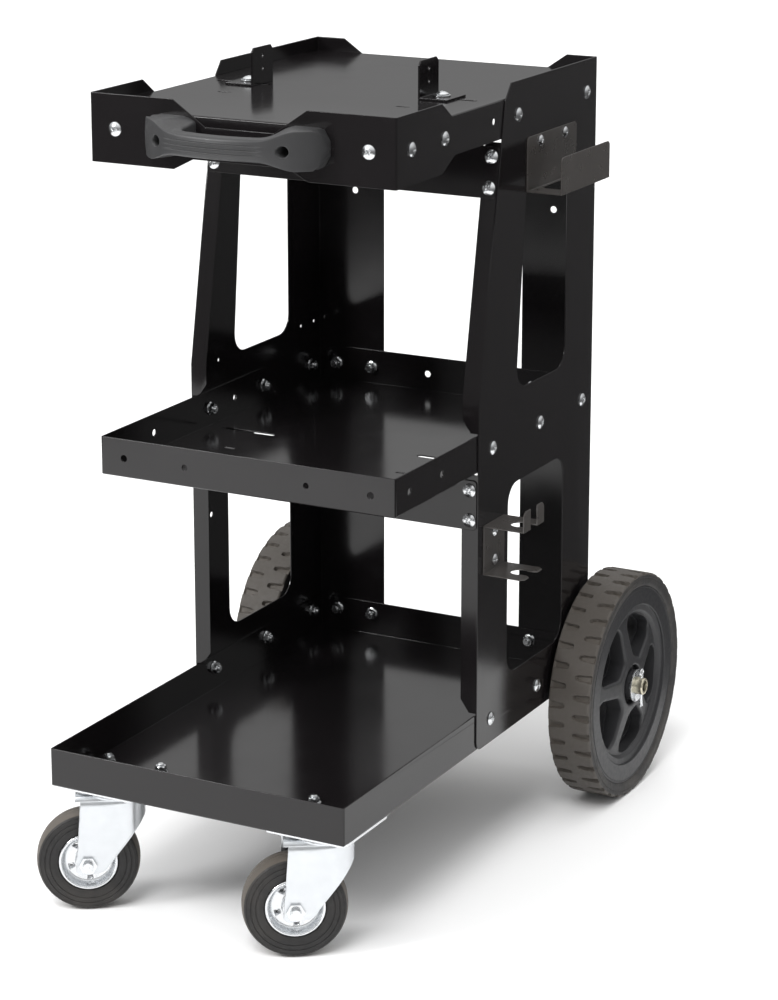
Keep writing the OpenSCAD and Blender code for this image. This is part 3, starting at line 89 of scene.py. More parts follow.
class CartSheetSizes(bpy.types.PropertyGroup):
    edge: size("Sheet edge", "Rounding of the cut edges of the folded sheet", 0.45 * MM)
    plate_edge: size("Plate edge", "Rounding of the edges of caster plates and forks", 0.5 * MM)
    small_edge: size("Small edge", "Rounding of washers, axle and other turned parts", 0.3 * MM)


class CartFastenerSizes(bpy.types.PropertyGroup):
    head: size("Head diameter", "Diameter of a frame bolt's head", 13.6 * MM)
    head_height: size("Head height", "Height of a frame bolt's head", 3.4 * MM)
    shank: size("Thread diameter", "Diameter of a frame bolt", 6 * MM)
    grip: size("Grip", "Sheet that a frame bolt clamps", 3 * MM)
    nut: size("Nut height", "Height of a frame nut with its flange", 6 * MM)
    nut_width: size("Nut width", "Width across the flats of a frame nut", 10 * MM)
    flange: size("Flange diameter", "Diameter of a frame nut's flange", 14 * MM)
    spare: size("Thread end", "Thread that stands beyond the nut", 2 * MM)
    small_head: size("Small head diameter", "Diameter of an accessory screw's head", 11 * MM)
    small_height: size("Small head height", "Height of an accessory screw's head", 2.8 * MM)
    small_shank: size("Small thread", "Diameter of an accessory screw", 5 * MM)
    small_nut: size("Small nut height", "Height of an accessory nut", 4.5 * MM)
    small_width: size("Small nut width", "Width across the flats of an accessory nut", 8 * MM)


class CartHandleSizes(bpy.types.PropertyGroup):
    half: size("Half length", "Half the length of the handle", 96 * MM)
    reach: size("Reach", "How far the bow stands in front of the guard", 52 * MM)
    grip_height: size("Grip height", "Height of the grip", 21 * MM)
    grip_depth: size("Grip depth", "Depth of the grip from front to back", 18 * MM)
    pad_height: size("Pad height", "Height of the end pads", 36.5 * MM)
    end_radius: size("End radius", "Radius of the rounded ends, seen from the front", 23.5 * MM)
    finger: size("Finger gap", "Half length of the gap for the fingers", 46 * MM)
    screw: size("Screw distance", "Distance from the middle to each screw", 66 * MM)
    bore: size("Counterbore", "Diameter of the hole over a screw's head", 11 * MM)
    groove: size("Groove depth", "Depth of the long grooves on the grip", 0.8 * MM)
    groove_pitch: size("Groove distance", "Distance between the grooves", 4.4 * MM)


class CartWheelSizes(bpy.types.PropertyGroup):
    radius: size("Wheel radius", "Radius of a rear wheel", 120 * MM)
    width: size("Tyre width", "Width of a rear tyre", 46 * MM)
    rim: size("Rim radius", "Radius at which the tyre meets its rim", 105.6 * MM)
    depth: size("Groove depth", "Depth of the tread grooves", 4 * MM)
    rib: size("Rib", "Half width of the plain rib round the middle", 4.4 * MM)
    shoulder: size("Shoulder", "Rounding between tread and side wall", 2.5 * MM)
    grooves: IntProperty(
        name="Grooves", description="Grooves round each row of the tread", default=36, min=24, max=44)
    spokes: IntProperty(name="Spokes", description="Spokes of a rear hub", default=5, min=4, max=7)
    first: angle("First window", "Angle of the first window of a hub", 281)
    disc: size("Disc radius", "Radius at which the spokes meet the rim", 76.6 * MM)
    boss: size("Boss radius", "Radius of the boss", 24 * MM)
    disc_half: size("Spoke height", "Half thickness of the spokes at the rim", 14 * MM)
    boss_half: size("Boss height", "Half thickness of the boss", 21 * MM)
    edge: size("Spoke edge", "Rounding of the spokes' edges", 3.2 * MM)
    lip: size("Parting lip", "Width of the thin lip inside each window", 2.2 * MM)


class CartCasterSizes(bpy.types.PropertyGroup):
    radius: size("Wheel radius", "Radius of a caster wheel", 50 * MM)
    half: size("Half width", "Half the width of a caster tyre", 14.6 * MM)
    hub: size("Hub", "Half length of a caster wheel's hub tube", 18.2 * MM)
    hole: size("Rim hole", "Diameter of the holes in the pressed rim", 5.4 * MM)
    out: size("Side distance", "Distance of a kingpin from the middle", 115 * MM)
    forward: size("Front distance", "Distance of a kingpin from the trays' back", 484 * MM)
    trail: size("Trail", "Distance between kingpin and wheel axle", 30 * MM)
    sheet: size("Fork sheet", "Thickness of the fork's sheet", 2.5 * MM)
    across: size("Fork half width", "Distance from the middle to a leg's outer face", 21.5 * MM)
    bend: size("Bend", "How far behind the kingpin the legs turn into the skirt", 8 * MM)
    skirt: size("Skirt", "Reach of the round skirt behind that bend", 18 * MM)
    heading: angle("Heading", "Direction in which the casters trail", 212)


class CartColours(bpy.types.PropertyGroup):
    powder: tint("Powder coat", "Gloss black of the folded sheet", "#141213")
    fork: tint("Fork zinc", "Duller plating of the caster forks", "#dfe2e5")
    bracket: tint("Bracket coat", "Satin black of the hooks and the holder", "#3b3836")
    zinc: tint("Bright zinc", "Plating of bolts, nuts and caster plates", "#e6e8ea")
    axle: tint("Yellow zinc", "Plating of the rear axle tube", "#d6cfba")
    bearing: tint("Bearing steel", "Polished bearing balls", "#c9cacc")
    handle: tint("Handle", "Charcoal plastic of the handle", "#333334")
    hub: tint("Hub", "Charcoal plastic of the rear hubs", "#28282a")
    tyre: tint("Tyre", "Dark grey rubber of the rear tyres", "#2a2929")
    caster: tint("Caster tyre", "Black rubber of the caster tyres", "#1b1a1a")
    # Besides real bloom and wear, this colour paints the rear treads and their groove floors lighter: painted
    # light where the light falls on them
    dust: tint("Rubber bloom", "Brownish bloom on rubber, where it is worn or cut", "#6b645c")
    floor: tint("Floor", "Pale studio floor", "#f4f4f4")


class CartStudio(bpy.types.PropertyGroup):
    sky: FloatProperty(
        name="Sky light", description="Strength of the light from overhead", default=1.4, min=0, max=4)
    key: FloatProperty(
        name="Key light", description="Strength of the soft light from the upper front",
        default=1.8, min=0, max=10)
    front: FloatProperty(
        name="Front light", description="Power of the soft light in front",
        default=85, min=0, max=1000, unit="POWER")


GROUPS = {
    "cart_sheet": CartSheetSizes, "cart_fasteners": CartFastenerSizes, "cart_handle": CartHandleSizes,
    "cart_wheels": CartWheelSizes, "cart_casters": CartCasterSizes, "cart_colours": CartColours,
    "cart_studio": CartStudio,
}


# Materials

def add(tree, kind, values=None, links=None, **settings):
    """Adds a node with its settings, socket values and links, and returns it."""
    made = tree.nodes.new(kind)
    for key, value in settings.items():
        setattr(made, key, value)
    for key, value in (values or {}).items():
        made.inputs[key].default_value = value
    for key, source in (links or {}).items():
        tree.links.new(source, made.inputs[key])
    return made


def speckle(tree, millimetres, detail=2.0, rough=0.5):
    """Noise whose grain is so many millimetres across, on the piece's own coordinates."""
    where = add(tree, "ShaderNodeTexCoord").outputs["Object"]
    values = {"Scale": 1 / (millimetres * MM), "Detail": detail, "Roughness": rough}
    return add(tree, "ShaderNodeTexNoise", values, {"Vector": where}).outputs["Fac"]


def between(tree, fac, low, high, start=0.3, end=0.7):
    """Maps a pattern from its own range to low and high."""
    values = {"From Min": start, "From Max": end, "To Min": low, "To Max": high}
    return add(tree, "ShaderNodeMapRange", values, {"Value": fac}).outputs["Result"]


def shaded(tree, fac, colour, darker, lighter):
    """A colour that wanders between a darker and a lighter share of itself."""
    low, high = ((*[c * part for c in colour], 1) for part in (darker, lighter))
    mixed = add(tree, "ShaderNodeMix", {"A": low, "B": high}, {"Factor": fac}, data_type="RGBA")
    return mixed.outputs["Result"]


def bumped(tree, height, depth, strength, under=None):
    """A bump of so many millimetres, over another bump where one is given."""
    links = {"Height": height, "Normal": under} if under else {"Height": height}
    values = {"Distance": depth * MM, "Strength": strength}
    return add(tree, "ShaderNodeBump", values, links).outputs["Normal"]


def material(name, colour, make, **sockets):
    """A Principled material; make(tree) gives the sockets that a pattern drives."""
    found = bpy.data.materials.get(name)
    if found:
        return found
    made = bpy.data.materials.new(name)
    made.use_nodes = True
    made.diffuse_color = (*colour, 1)
    tree = made.node_tree
    tree.nodes.clear()
    values = {key.replace("_", " ").title().replace("Ior", "IOR"): value for key, value in sockets.items()}
    body = add(tree, "ShaderNodeBsdfPrincipled", {"Base Color": (*colour, 1), **values}, make(tree))
    add(tree, "ShaderNodeOutputMaterial", None, {"Surface": body.outputs["BSDF"]})
    return made


def powder_coat():
    """Polyester powder baked on steel: deep gloss black, a faint orange peel and slow waves in the sheet."""
    colour = bpy.context.scene.cart_colours.powder

    def make(tree):
        peel = speckle(tree, 2.2, 2)
        wave = speckle(tree, 90, 1)
        return {
            "Base Color": shaded(tree, speckle(tree, 25, 3), colour, 0.9, 1.1),
            "Roughness": between(tree, speckle(tree, 30, 2), 0.13, 0.16),
            "Normal": bumped(tree, peel, 0.008, 0.5, bumped(tree, wave, 0.2, 0.3)),
        }
    return material("gloss_black_powder_coat", colour, make, specular_ior_level=0.45)


def bracket_coat():
    """The thinner satin black of the bolted brackets, a little paler and browner than the big sheets."""
    colour = bpy.context.scene.cart_colours.bracket

    def make(tree):
        return {
            "Base Color": shaded(tree, speckle(tree, 12, 3), colour, 0.9, 1.15),
            "Roughness": between(tree, speckle(tree, 14, 2), 0.26, 0.34),
            "Normal": bumped(tree, speckle(tree, 2.2, 2), 0.008, 0.4),
        }
    return material("satin_black_bracket_coat", colour, make, specular_ior_level=0.6)


def plating(name, colour, low, high, grain=6.0):
    """Electroplated zinc on pressed steel: bright, slightly cloudy and faintly streaked."""
    def make(tree):
        return {
            "Base Color": shaded(tree, speckle(tree, grain, 4), colour, 0.86, 1.0),
            "Roughness": between(tree, speckle(tree, grain * 0.6, 5), low, high),
            "Normal": bumped(tree, speckle(tree, 1.2, 3), 0.02, 0.4),
        }
    return material(name, colour, make, metallic=1.0)


def bright_zinc():
    return plating("bright_zinc_plate", bpy.context.scene.cart_colours.zinc, 0.16, 0.3)


def fork_zinc():
    return plating("satin_zinc_plate", bpy.context.scene.cart_colours.fork, 0.28, 0.36, 14.0)


def yellow_zinc():
    return plating("yellow_zinc_plate", bpy.context.scene.cart_colours.axle, 0.25, 0.4)


def ball_steel():
    return plating("polished_bearing_steel", bpy.context.scene.cart_colours.bearing, 0.08, 0.14)


def moulded(name, colour, low, high, grain=0.8):
    """Injection-moulded plastic: satin, with the fine spark-eroded grain of its mould."""
    def make(tree):
        return {
            "Base Color": shaded(tree, speckle(tree, 18, 3), colour, 0.88, 1.12),
            "Roughness": between(tree, speckle(tree, 5, 3), low, high),
            "Normal": bumped(tree, speckle(tree, grain, 2), 0.05, 0.5),
        }
    return material(name, colour, make)


def handle_plastic():
    return moulded("moulded_charcoal_handle", bpy.context.scene.cart_colours.handle, 0.36, 0.48)


def hub_plastic():
    return moulded("moulded_charcoal_hub", bpy.context.scene.cart_colours.hub, 0.38, 0.5)


def rubber(name, colour, low, high, dust=0.25):
    """Moulded rubber: matt, with a brownish bloom in patches, and the same bloom colour where the mesh marks
    it: real wear, and on the rear tyres also painted light on the lit tread and groove floors.
    """
    def make(tree):
        # This mesh attribute mixes in the bloom colour: real wear, and on the rear tyres painted light, the
        # lit tread and groove floors painted lighter
        worn = add(tree, "ShaderNodeAttribute", attribute_name="worn").outputs["Fac"]
        patches = between(tree, speckle(tree, 40, 5, 0.6), 0, dust, 0.45, 0.75)
        both_of = add(tree, "ShaderNodeMath", None, {0: patches, 1: worn}, operation="MAXIMUM")
        bloom = add(tree, "ShaderNodeMix", {"B": (*bpy.context.scene.cart_colours.dust, 1)}, {
            "Factor": both_of.outputs[0],
            "A": shaded(tree, speckle(tree, 6, 4), colour, 0.85, 1.15),
        }, data_type="RGBA")
        return {
            "Base Color": bloom.outputs["Result"],
            "Roughness": between(tree, speckle(tree, 4, 3), low, high),
            "Normal": bumped(tree, speckle(tree, 1.1, 3), 0.06, 0.5),
        }
    return material(name, colour, make)


def tyre_rubber():
    return rubber("moulded_grey_tyre_rubber", bpy.context.scene.cart_colours.tyre, 0.55, 0.72)


def caster_rubber():
    return rubber("moulded_black_caster_rubber", bpy.context.scene.cart_colours.caster, 0.5, 0.65, 0.15)


# Mesh making

def linked(name, mesh):
    """An object of a mesh, in the scene."""
    piece = bpy.data.objects.new(name, mesh)
    bpy.context.scene.collection.objects.link(piece)
    return piece


def loose(bm, name):
    """Makes an object of a bmesh just as it is."""
    mesh = bpy.data.meshes.new(name)
    bm.to_mesh(mesh)
    bm.free()
    return linked(name, mesh)


def to_piece(bm, name, finish=None, smooth_under=35):
    """Makes an object of a bmesh, smooth but for edges sharper than the given angle."""
    bmesh.ops.recalc_face_normals(bm, faces=bm.faces)
    limit = math.radians(smooth_under)
    for edge in bm.edges:
        edge.smooth = len(edge.link_faces) == 2 and edge.calc_face_angle(0) < limit
    for face in bm.faces:
        face.smooth = True
    piece = loose(bm, name)
    if finish:
        piece.data.materials.append(finish)
    return piece


def evaluated(source, name):
    """A plain mesh object of what the modifiers of another make; that one is removed."""
    graph = bpy.context.evaluated_depsgraph_get()
    mesh = bpy.data.meshes.new_from_object(
        source.evaluated_get(graph), preserve_all_data_layers=True, depsgraph=graph)
    mesh.name = name
    bpy.data.objects.remove(source)
    return linked(name, mesh)


def hand_in(piece, body, nodes):
    """Rides a finished piece on its body and the CAD nodes that it stands for."""
    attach(piece, body)
    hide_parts(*nodes)


def bevelled(piece, name, width, sharp, **settings):
    """A copy of a piece whose edges are rounded where they are sharper than the given angle."""
    bevel = piece.modifiers.new("edges", "BEVEL")
    bevel.width = width
    bevel.segments = 2
    bevel.limit_method = "ANGLE"
    bevel.angle_limit = math.radians(sharp)
    bevel.harden_normals = True
    for key, value in settings.items():
        setattr(bevel, key, value)
    return evaluated(piece, name)


def softened(name, node, width, finish):
    """A copy of a CAD node with its flat faces joined up and its edges rounded, as coated edges are."""
    bm = bmesh.new()
    bm.from_mesh(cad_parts[node].data)
    bmesh.ops.remove_doubles(bm, verts=bm.verts, dist=0.002 * MM)
    bmesh.ops.dissolve_limit(bm, angle_limit=math.radians(0.4), verts=bm.verts, edges=bm.edges)
    return bevelled(to_piece(bm, name + "_raw", finish), name, width, 32,
                    use_clamp_overlap=False, miter_outer="MITER_ARC")


def sheet(node, finish, body="frame"):
    """Hands in a folded sheet of the CAD with its cut edges softened."""
    edge = bpy.context.scene.cart_sheet.edge
    hand_in(softened(node + "_sheet", node, edge, finish), body, [node])


def plated(name, node, width, body="frame"):
    """Hands in a bright plated piece of the CAD with its edges softened."""
    hand_in(softened(name, node, width, bright_zinc()), body, [node])


def rounded(corners, steps=10):
    """A closed outline of (x, y, radius) corners, each turned into an arc."""
    out = []
    for i, (x, y, radius) in enumerate(corners):
        here = Vector((x, y))
        before, after = (Vector(corners[k % len(corners)][:2]) - here for k in (i - 1, i + 1))
        u, v = before.normalized(), after.normalized()
        half = u.angle(v) / 2
        centre = here + (u + v).normalized() * radius / math.sin(half)
        start, end = (here + w * radius / math.tan(half) - centre for w in (u, v))
        first = math.atan2(start.y, start.x)
        turn = (math.atan2(end.y, end.x) - first + 3 * math.pi) % math.tau - math.pi
        for k in range(steps + 1):
            a = first + turn * k / steps
            out.append(centre + Vector((math.cos(a), math.sin(a))) * radius)
    return out


def clamped(value):
    """A value held between nought and one."""
    return min(max(value, 0), 1)


def joined(bm, rings, closed=False):
    """Faces between rings; a ring of one vertex is a pole."""
    pairs = list(zip(rings, rings[1:]))
    if closed:
        pairs.append((rings[-1], rings[0]))
    for low, high in pairs:
        count = max(len(low), len(high))
        for i in range(count):
            j = (i + 1) % count
            if len(low) == 1:
                bm.faces.new((low[0], high[j], high[i]))
            elif len(high) == 1:
                bm.faces.new((low[i], low[j], high[0]))
            else:
                bm.faces.new((low[i], low[j], high[j], high[i]))


def turned_shape(profile, steps=32, closed=False):
    """A bmesh of a (radius, height) profile spun round local Z; a radius of nought makes a pole."""
    bm = bmesh.new()
    rings = []
    for radius, height in profile:
        turns = [math.tau * i / steps for i in range(steps)] if radius else [0]
        rings.append([bm.verts.new((radius * math.cos(a), radius * math.sin(a), height)) for a in turns])
    joined(bm, rings, closed)
    bmesh.ops.recalc_face_normals(bm, faces=bm.faces)
    return bm


def cross_cutter(head, height):
    """The tapered cross that a driver fits in: each arm is narrower at its foot than at its mouth."""
    bm = bmesh.new()
    arm, blade = head * 0.46, head * 0.104
    foot, mouth = height * 0.28, height * 1.2
    for turn in (0, math.pi / 2):
        box = bmesh.ops.create_cube(bm, size=1)["verts"]
        for v in box:
            low = v.co.z < 0
            v.co.x *= arm * (0.62 if low else 1.15)
            v.co.y *= blade * (0.8 if low else 1.1)
            v.co.z = foot if low else mouth
        bmesh.ops.rotate(bm, verts=box, matrix=Matrix.Rotation(turn, 3, "Z"))
    return bm


def cut(piece, cutter, name):
    """Cuts one object out of another and gives the plain result."""
    tool = piece.modifiers.new("cut", "BOOLEAN")
    tool.operation = "DIFFERENCE"
    tool.solver = "EXACT"
    tool.use_self = True
    tool.object = cutter
    made = evaluated(piece, name)
    bpy.data.objects.remove(cutter)
    return made


def button_bolt(head, height, shank, grip, nut, spare):
    """A flanged button bolt, +Z out of the sheet, with a cross recess and some turns of thread at its end."""
    rim, rim_edge, chamfer = 0.9 * MM, 0.3 * MM, 0.5 * MM
    thread_pitch, thread_depth = 1.0 * MM, 0.45 * MM
    dome = height - rim
    ball = (head * head / 4 + dome * dome) / (2 * dome)
    profile = [(0, height)]
    for i in range(1, 7):
        r = head / 2 * i / 6
        profile.append((r, rim + math.sqrt(ball * ball - r * r) - (ball - dome)))
    profile += [(head / 2, rim * 0.35), (head / 2 - rim_edge, 0), (shank / 2, 0)]
    end = grip + nut + spare
    z = -(grip + nut) + chamfer
    while z - thread_pitch / 2 > -end + 0.1 * MM:
        profile += [(shank / 2, z), (shank / 2 - thread_depth, z - thread_pitch / 2)]
        z -= thread_pitch
    profile += [(shank / 2, -end + chamfer), (shank / 2 - chamfer, -end), (0, -end)]
    bolt = to_piece(turned_shape(profile, 24), "bolt_blank")
    return cut(bolt, to_piece(cross_cutter(head, height), "cross"), "bolt_shape")


def nut_ring(bm, radius, z, flats=0):
    """A ring of places; a width across the flats makes it a hexagon with its corners cut at the radius."""
    verts = []
    for i in range(24):
        a = math.tau * i / 24
        fold = (a + math.pi / 6) % (math.pi / 3) - math.pi / 6
        r = min(radius, flats / 2 / math.cos(fold)) if flats else radius
        verts.append(bm.verts.new((r * math.cos(a), r * math.sin(a), z)))
    return verts


def flange_nut(width, height, flange, bore, grip):
    """A nut under a sheet of so much grip, with a flange unless that is nought, its hexagon chamfered."""
    bm = bmesh.new()
    corner = width / 2 / math.cos(math.pi / 6)
    rings = [(bore / 2, 0)]
    if flange:
        rings += [(flange / 2 - 0.2 * MM, 0), (flange / 2, 0.5 * MM), (flange / 2 - 0.4 * MM, 0.9 * MM)]
    rings += [(corner, 1.4 * MM if flange else 0, width), (corner, height - 0.9 * MM, width),
              (width / 2 * 0.96, height, width), (bore / 2 + 0.5 * MM, height), (bore / 2, height - 0.5 * MM)]
    joined(bm, [nut_ring(bm, radius, -grip - z, *flats) for radius, z, *flats in rings], closed=True)
    return to_piece(bm, "nut_shape")


def hex_head(width, height, flange, shank, length):
    """A flanged hexagon bolt, +Z out of its head, with a shallow dish in its top."""
    bm = bmesh.new()
    corner, dish = width / 2 / math.cos(math.pi / 6), height - 0.4 * MM
    top, end = ([bm.verts.new((0, 0, z))] for z in (dish, -length))
    rings = [(width / 2 * 0.55, dish), (width / 2 * 0.66, height, width), (width / 2 * 0.97, height, width),
             (corner, height - 0.8 * MM, width), (corner, 1.4 * MM, width),
             (flange / 2 - 0.4 * MM, 1.0 * MM), (flange / 2, 0.5 * MM), (flange / 2 - 0.2 * MM, 0),
             (shank / 2, 0), (shank / 2, -length + 0.6 * MM), (shank / 2 - 0.5 * MM, -length)]
    joined(bm, [top, *(nut_ring(bm, *ring) for ring in rings), end])
    return to_piece(bm, "hex_shape")


# Geometry Nodes

def new_tree(name, sockets):
    """A geometry tree with its named inputs; gives the tree, its input node and the socket identifiers."""
    tree = bpy.data.node_groups.new(name, "GeometryNodeTree")
    ids = {}
    for label, kind in sockets.items():
        socket = tree.interface.new_socket(label, in_out="INPUT", socket_type="NodeSocket" + kind)
        ids[label] = socket.identifier
    tree.interface.new_socket("Geometry", in_out="OUTPUT", socket_type="NodeSocketGeometry")
    return tree, tree.nodes.new("NodeGroupInput"), ids


def end_tree(tree, shape, finish):
    """Realizes the instances, sets the finish and ends the tree."""
    real = add(tree, "GeometryNodeRealizeInstances", None, {"Geometry": shape})
    done = add(tree, "GeometryNodeSetMaterial", None, {"Geometry": real.outputs[0], "Material": finish})
    add(tree, "NodeGroupOutput", None, {0: done.outputs[0]})


def grown(source, name, tree, ids, values):
    """Runs a tree on an object with its inputs set by identifier, and gives a plain mesh object."""
    run = source.modifiers.new("grow", "NODES")
    run.node_group = tree
    for label, value in values.items():
        run[ids[label]] = value
    return evaluated(source, name)


def fastener_tree():
    """Sets a fastener on every point, turned to the point's aim and round it by the point's turn."""
    tree, start, ids = new_tree(
        "fasteners", {"Sites": "Geometry", "Fastener": "Object", "Finish": "Material"})
    shape = add(tree, "GeometryNodeObjectInfo", None, {"Object": start.outputs["Fastener"]})
    aim = add(tree, "GeometryNodeInputNamedAttribute", {"Name": "aim"}, data_type="FLOAT_VECTOR")
    turn = add(tree, "GeometryNodeInputNamedAttribute", {"Name": "turn"}, data_type="FLOAT")
    faced = add(tree, "FunctionNodeAlignRotationToVector", None,
                {"Vector": aim.outputs["Attribute"]}, axis="Z")
    spin = add(tree, "FunctionNodeAxisAngleToRotation", {"Axis": (0, 0, 1)},
               {"Angle": turn.outputs["Attribute"]})
    whole = add(tree, "FunctionNodeRotateRotation", None, {
        "Rotation": faced.outputs["Rotation"], "Rotate By": spin.outputs["Rotation"]},
        rotation_space="LOCAL")
    placed = add(tree, "GeometryNodeInstanceOnPoints", None, {
        "Points": start.outputs["Sites"], "Instance": shape.outputs["Geometry"],
        "Rotation": whole.outputs["Rotation"]})
    end_tree(tree, placed.outputs["Instances"], start.outputs["Finish"])
    return tree, ids


def fasteners(name, sites, shape, nodes, body="frame"):
    """Hands in a bright plated fastener, set on its (place, aim) sites and turned differently on each."""
    mesh = bpy.data.meshes.new(name + "_sites")
    mesh.from_pydata([site for site, _ in sites], [], [])
    mesh.attributes.new("aim", "FLOAT_VECTOR", "POINT")
    mesh.attributes.new("turn", "FLOAT", "POINT")
    golden_angle = 2.399963
    for i, (_, aim) in enumerate(sites):
        mesh.attributes["aim"].data[i].vector = aim
        mesh.attributes["turn"].data[i].value = (i * golden_angle) % math.tau
    tree, ids = fastener_tree()
    finish = bright_zinc()
    made = grown(linked(name + "_sites", mesh), name, tree, ids, {"Fastener": shape, "Finish": finish})
    bpy.data.objects.remove(shape)
    hand_in(made, body, nodes)


def both(x, y, z, aim):
    """The same site on both sides of the cart."""
    return [(place(s * x, y, z), (s * aim[0], aim[1], aim[2])) for s in SIDES.values()]


def frame_sites():
    """Where the frame's bolts sit, each with the way out of the sheet."""
    bottom, middle, top = 156, 435, 754
    wall_x, back_xs, guard_x, bar_x = 161.5, (95.5, 138), 134, 152.5
    sites = []
    side_rows = {-23: (bottom, middle, top), -124: (bottom, middle), -232: (bottom, middle),
                 -182.2: (top,), -338: (top,), -404: (top,)}
    for y, heights in side_rows.items():
        for z in heights:
            sites += both(wall_x, y, z, (1, 0, 0))
    for x in back_xs:
        for z in (bottom, middle, top):
            sites += both(x, 1.5, z, (0, 1, 0))
    sites += both(guard_x, -433.5, top, (0, -1, 0))
    for z in (369, 399):
        sites += both(bar_x, -264.5, z, (0, -1, 0))
    # The upper crossbar sits on the part of the panels' flanges that leans back
    lean = math.radians(10.6)
    for y, z in ((-226.92, 688.96), (-221.4, 718.45)):
        sites += both(bar_x, y, z, (0, -math.cos(lean), math.sin(lean)))
    return sites


# Operators

class CartPiece:
    """What the cart's operators share"""
    bl_options = {"REGISTER", "UNDO"}


def set_camera(scene):
    """The photograph's camera, found from the cart's own edges."""
    camera = linked("camera", bpy.data.cameras.new("camera"))
    azimuth, down = math.radians(27.869), math.radians(14.253)
    back = Vector((math.sin(azimuth) * math.cos(down), -math.cos(azimuth) * math.cos(down), math.sin(down)))
    camera.location = place(1373.7, -2739.923, 1209.9)
    camera.rotation_euler = (-back).to_track_quat("-Z", "Y").to_euler()
    camera.data.sensor_width = 36
    camera.data.lens = 2.9778 * camera.data.sensor_width
    camera.data.shift_y = -0.12
    camera.data.clip_end = 100
    scene.camera = camera


def set_sky(scene):
    """A sky that grows brighter from the horizon to the zenith, and stays dim below."""
    world = bpy.data.worlds.new("studio")
    world.use_nodes = True
    tree = world.node_tree
    sky = tree.nodes["Background"]
    sky.inputs["Strength"].default_value = scene.cart_studio.sky
    where = add(tree, "ShaderNodeTexCoord")
    split = add(tree, "ShaderNodeSeparateXYZ", None, {"Vector": where.outputs["Generated"]})
    height = between(tree, split.outputs["Z"], 0, 1, -1, 1)
    ramp = add(tree, "ShaderNodeValToRGB", None, {"Fac": height})
    # The ramp's own last stop is the white zenith
    stops = ramp.color_ramp.elements
    stops.remove(stops[0])
    for spot, level in ((0.36, 0.07), (0.5, 0.16), (0.58, 0.24), (0.68, 0.5)):
        stops.new(spot).color = (level, level, level, 1)
    tree.links.new(ramp.outputs["Color"], sky.inputs["Color"])
    scene.world = world


def set_lights(studio):
    """A soft key light from the upper front, and a front light that the gloss mirrors."""
    key = linked("key_light", bpy.data.lights.new("key_light", "SUN"))
    key.data.energy = studio.key
    key.data.angle = math.radians(26)
    # The key light gives shade and shadow but no mirror image
    key.visible_glossy = False
    key.rotation_euler = Vector((-0.12, 0.75, -1)).to_track_quat("-Z", "Y").to_euler()
    front = linked("front_light", bpy.data.lights.new("front_light", "AREA"))
    front.data.shape = "SQUARE"
    front.data.size = 1.1
    front.data.energy = studio.front
    front.location = (-2.2, -3.0, 2.6)
    front.rotation_euler = (Vector((0, 0, 0.4)) - front.location).to_track_quat("-Z", "Y").to_euler()


def matt(tree):
    """The slightly uneven matt of card."""
    return {"Roughness": between(tree, speckle(tree, 30, 2), 0.75, 0.85)}


def lay_floor(colour):
    """Two coplanar pieces of floor; only the one close to the cart shows in its gloss, as paper would."""
    finish = material("matt_white_floor", colour, matt)
    far = 14
    west, south, east, north = -1.3, -2.2, 0.95, 0.5
    around = [(-far, -far, far, south), (-far, north, far, far),
              (-far, south, west, north), (east, south, far, north)]
    for name, boxes in (("floor_near", [(west, south, east, north)]), ("floor_far", around)):
        bm = bmesh.new()
        for x0, y0, x1, y1 in boxes:
            bm.faces.new([bm.verts.new((x, y, 0)) for x, y in ((x0, y0), (x1, y0), (x1, y1), (x0, y1))])
        floor = to_piece(bm, name, finish)
        floor.visible_glossy = name == "floor_near"


def hang_backdrop(colour):
    """A ring of glowing white paper far behind, which lights nothing, closes the horizon in low views."""
    paper = material("white_paper_backdrop", colour, matt,
                     emission_color=(1, 1, 1, 1), emission_strength=1.2)
    radius, foot, top, steps = 13.5, -0.5, 14, 96
    bm = bmesh.new()
    turns = [math.tau * k / steps for k in range(steps)]
    low, high = [[bm.verts.new((radius * math.cos(a), radius * math.sin(a), z)) for a in turns]
                 for z in (foot, top)]
    for k in range(steps):
        n = (k + 1) % steps
        bm.faces.new((low[n], low[k], high[k], high[n]))
    ring = to_piece(bm, "backdrop", paper)
    ring.visible_diffuse = ring.visible_glossy = False
    ring.visible_transmission = ring.visible_shadow = False


class CART_OT_studio(CartPiece, bpy.types.Operator):
    """Pale floor and backdrop, soft lights and the camera"""
    bl_idname = "cart.studio"
    bl_label = "Studio"

    def execute(self, context):
        scene = context.scene
        scene.view_settings.view_transform = "Standard"
        scene.view_settings.look = "None"
        set_camera(scene)
        set_sky(scene)
        set_lights(scene.cart_studio)
        lay_floor(scene.cart_colours.floor)
        hang_backdrop(scene.cart_colours.floor)
        return {"FINISHED"}


class CART_OT_trays(CartPiece, bpy.types.Operator):
    """The three folded trays"""
    bl_idname = "cart.trays"
    bl_label = "Trays"

    def execute(self, context):
        for node in ("bottom_tray", "middle_tray", "top_tray"):
            sheet(node, powder_coat())
        return {"FINISHED"}


class CART_OT_panels(CartPiece, bpy.types.Operator):
    """The two side panels"""
    bl_idname = "cart.panels"
    bl_label = "Side panels"

    def execute(self, context):
        for side in SIDES:
            sheet(side + "_side_panel", powder_coat())
        return {"FINISHED"}


class CART_OT_bars(CartPiece, bpy.types.Operator):
    """The crossbars and the front guard"""
    bl_idname = "cart.bars"
    bl_label = "Crossbars and guard"

    def execute(self, context):
        for node in ("upper_crossbar", "middle_crossbar", "front_guard"):
            sheet(node, powder_coat())
        return {"FINISHED"}


class CART_OT_holders(CartPiece, bpy.types.Operator):
    """The cable hook and the torch holder"""
    bl_idname = "cart.holders"
    bl_label = "Cable hook and torch holder"

    def execute(self, context):
        for node in ("cable_hook", "torch_holder"):
            sheet(node, bracket_coat())
        return {"FINISHED"}


